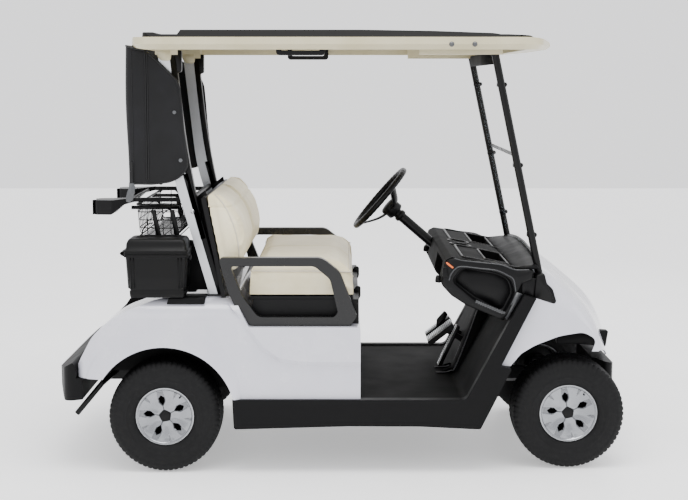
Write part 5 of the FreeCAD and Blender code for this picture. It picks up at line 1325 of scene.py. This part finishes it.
# %% Struts and brackets
strut_edge = rounded([(222, 708), (151, 951), (88, 1190), (39, 1672)], 260.0, 8, closed=False)
for side, sign in SIDES:
    path = at(strut_edge[:, 0], sign * 431.0, strut_edge[:, 1])
    sleeve = sweep("strut_sleeve_" + side, path, bar_section(12.0, 22.0, 3.0), up=(0, 1, 0))
    wear(sleeve, satin_black, "trim_black")
for plate in (
    ("seat_side_panel", [(238, 706), (204, 706), (112, 1096), (160, 1134)], 398.0, 405.0,
     satin_black, "trim_black", 6.0),
    ("dash_corner_panel", [(1436, 716), (1492, 712), (1494, 792), (1436, 792)], 540.0, 562.0,
     satin_black, "trim_black", 4.0),
    ("front_liner_lip", [(1600, 500), (1700, 500), (1800, 490), (1810, 556), (1600, 566)], 396.0,
     436.0, grained_black, "black_plastic", 6.0),
    ("well_side_panel", [(86, 930), (142, 922), (190, 800), (214, 722), (70, 722)], 399.0, 406.0,
     grained_black, "black_plastic", 8.0),
    ("rear_roof_bracket", [(-26, 1695), (34, 1695), (33, 1660), (22, 1654), (-6, 1656),
                           (-20, 1668)], 406.0, 455.0, roof_beige, "roof_beige", 5.0),
    ("rear_roof_clamp", [(32, 1696), (74, 1696), (73, 1612), (52, 1604), (34, 1640)], 412.0, 450.0,
     satin_black, "trim_black", 6.0),
    ("front_strut_foot", [(1484, 714), (1492, 806), (1524, 812), (1534, 772), (1558, 750),
                          (1573, 700), (1566, 688)], 480.0, 570.0, satin_black, "trim_black", 7.0,
     3.0),
    ("strut_foot_seam", [(164, 698), (256, 698), (256, 711), (170, 711)], 404.0, 461.0,
     satin_black, "trim_black", 3.0),
):
    both_sides(*plate)
foot = slab("box_foot_plate", [(14, 688), (166, 688), (166, 712), (22, 712)], -436.0, -566.0, 4.0)
wear(foot, grained_black, "black_plastic")
bolt = np.array([(9.0, -2.0), (9.0, 0.6), (8.2, 1.6), (6.0, 1.8), (6.0, 5.0), (5.2, 6.2),
                 (0.6, 6.6)])
bolt_holes = ((24.0, 1600.0), (66.0, 1294.0), (110.0, 1050.0))
places = [at(x, sign * 453.0, z) for _, sign in SIDES for x, z in bolt_holes]
facing = [(0.0, sign, 0.0) for _, sign in SIDES for _ in bolt_holes]
wear(set_down("strut_bolts", bolt, places, facing, 12), zinc, "strut_silver")
for side, sign in SIDES:
    on_roof = at([1142.0, 1232.0], sign * 640.0, [1712.0, 1711.0])
    places = on_surface(nodes["roof_edge"], on_roof)
    heads = set_down("roof_bolts_" + side, bolt * 1.15, places, (0.0, sign, 0.0), 14)
    wear(heads, smoked_buckle, "strut_silver")
print("bolts", len(facing) + 4)

# %% [markdown]
# The windshield folds in the middle. A bowed bar holds its foot, a strip covers the fold, clips
# hold its sides, and the scuttle closes the gap between the dash and the lower bar.

# %% Windshield frame and scuttle
def front_strut(z):
    """Station of the leaning front strut at a height, on the line between its two ends."""
    return 1527.0 + (z - 730.0) * (1323.0 - 1527.0) / (1678.0 - 730.0)


t = np.linspace(-1, 1, 40)
bow = 1 - t**2
lead, high = front_strut(840.0) + 6.0 * bow, 838.0 + 30.0 * bow
blade = bar_section(5.0, 14.0, 3.0)
lower_bar = sweep("windshield_lower_bar", at(lead, 486.0 * t, high), blade)
wear(lower_bar, satin_black, "trim_black")
edges = ((1402.0, 831.0), (lead - 8.0, high + 2.0), (lead + 2.0, high - 10.0), (1408.0, 822.0))
scuttle = np.stack([at(x, 486.0 * t * 1.12, z) for x, z in edges], 1)
wear(grid("scuttle_panel", scuttle, wrap_columns=True, caps=True), grained_black, "black_plastic")
fold = at(front_strut(1276.0) + 8.0, 478.0 * t, 1276.0)
wear(sweep("windshield_fold_strip", fold, blade * 0.55), satin_black, "trim_black")
clip = np.array([(-16, -9), (20, -9), (24, 0), (20, 9), (-16, 9)])
for k, z in enumerate((960.0, 1240.0, 1560.0)):
    both_sides("pane_clip_%d" % k, clip + [front_strut(z), z], 470.0, 502.0, satin_black,
               "trim_black", 4.0)
header = at(front_strut(1666.0), [-505.0, 505.0], 1666.0)
header_bar = sweep("roof_header_bar", header, bar_section(11.0, 25.0, 7.0, 4))
wear(header_bar, floor_black, "steel_black")
print("scuttle points", scuttle.shape)

# %% [markdown]
# ## Cover fittings and bag rack
# A strap with a buckle holds each side of the cover down. Under it, two rails on four legs carry
# the bags, and loops of strap hang ready to tie them.

# %% Strap, buckle and flap of the cover
both_sides("cover_strap", [(-139, 1250), (-124, 1250), (-124, 1166), (-139, 1166)], half + 4.0,
           half + 8.0, cover_piping, "cover_vinyl", 2.0, 1.0)
both_sides("strap_buckle", [(-140, 1172), (-124, 1170), (-116, 1150), (-126, 1098), (-140, 1086),
                            (-154, 1092), (-154, 1112), (-142, 1150)], half - 2.0, half + 7.0,
           smoked_buckle, "cover_vinyl", 4.0)
flap = slab("cover_back_flap", [(-150, 1622), (-168, 1616), (-174, 1520), (-170, 1512),
                                (-160, 1514), (-152, 1600)], -170.0, 170.0, 3.0)
wear(flap, cover_cloth, "cover_vinyl")
rails = [at([-160.0, 40.0], y, 1052.0) for y in (-300.0, 300.0)]
wear(bundle("rack_rails", rails, 8.0, 12), powder_black, "steel_black")
for k, foot in enumerate((-46.0, 30.0)):
    leg = [(foot - 20, 1050), (foot - 1, 1050), (foot + 24, 926), (foot + 2, 926)]
    both_sides("rack_leg_%d" % k, leg, 388.0, 394.0, powder_black, "steel_black", 3.0)
straps = []
for y in (-300.0, 300.0):
    t = np.linspace(0.2, 2.9, 16)
    straps.append(at(-82.0 + 42.0 * np.cos(t), y, 1060.0 + 26.0 * np.sin(t)))
    t = np.linspace(1.6, 3.3, 12)
    straps.append(at(-66.0 + 48.0 * np.cos(t), y - 30.0, 944.0 + 46.0 * np.sin(t)))
wear(bundle("rack_straps", straps, [4.5, 2.6] * 2, 10), cover_piping, "wire_black")
print("rack pieces", 2 + 4 + len(straps))

# %% [markdown]
# ## Pedals and floor
# The pedals get bright ribbed treads: round bars laid side by side up the face of each pad.

# %% Pedal treads and floor mouldings
def tread(name, foot, head, y0, y1, count):
    """Ribs across a pad, evenly spaced from its foot to its head."""
    share = np.linspace(0.03, 0.97, count)[:, None]
    line = np.array(foot) + (np.array(head) - np.array(foot)) * share
    ribs = [at(s, [y0, y1], z) for s, z in line]
    return wear(bundle(name, ribs, 3.4), zinc, "steel_black")


def block(name, outline, y0, y1, material, slot, *rounding):
    wear(slab(name, outline, y0, y1, *rounding), material, slot)


tread("brake_tread", (1105, 402), (1213, 486), 127.0, 233.0, 15)
tread("lock_tread", (1105, 402), (1213, 486), 297.0, 363.0, 15)
block("accelerator_plate", [(1146, 302), (1158, 293), (1244, 478), (1232, 488)], 60.0, 112.0,
      powder_black, "steel_black", 3.0)
tread("accelerator_tread", (1146, 304), (1231, 486), 62.0, 110.0, 20)
block("park_latch", [(1150, 448), (1186, 474), (1203, 508), (1188, 522), (1152, 482)], 236.0,
      262.0, satin_black, "steel_black", 6.0, 3.0)
block("toe_tunnel", [(1120, 292), (1186, 300), (1216, 332), (1310, 596), (1380, 600),
                     (1262, 292)], -66.0, 46.0, floor_black, "black_plastic", 26.0, 8.0, 8)
# The floor's edge beads and the tunnel's ridge bead are painted grey as painted highlights.
edge = curve_through([(780, 296), (1071, 296), (1205, 297), (1238, 312), (1266, 358),
                      (1363, 574), (1440, 716)], 70)
ridge = curve_through([(1130, 302), (1190, 308), (1222, 344), (1312, 590)], 40)
lines = [at(line[:, 0], y, line[:, 1])
         for line, ends in ((edge, (566.0, -566.0)), (ridge, (-66.0, 46.0))) for y in ends]
wear(bundle("floor_edge_beads", lines, 2.6), painted_highlight_trim, "trim_black")
plug = [(13.0, -1.0), (13.0, 1.2), (11.0, 2.2), (5.0, 2.6), (0.6, 2.6)]
plugs = [at(x, y, 294.0) for x in (860.0, 1090.0) for y in (-430.0, 430.0)]
wear(set_down("floor_plugs", plug, plugs, (0, 0, 1), 20), rubber, "black_plastic")
print("floor beads", len(lines), "plugs", len(plugs))
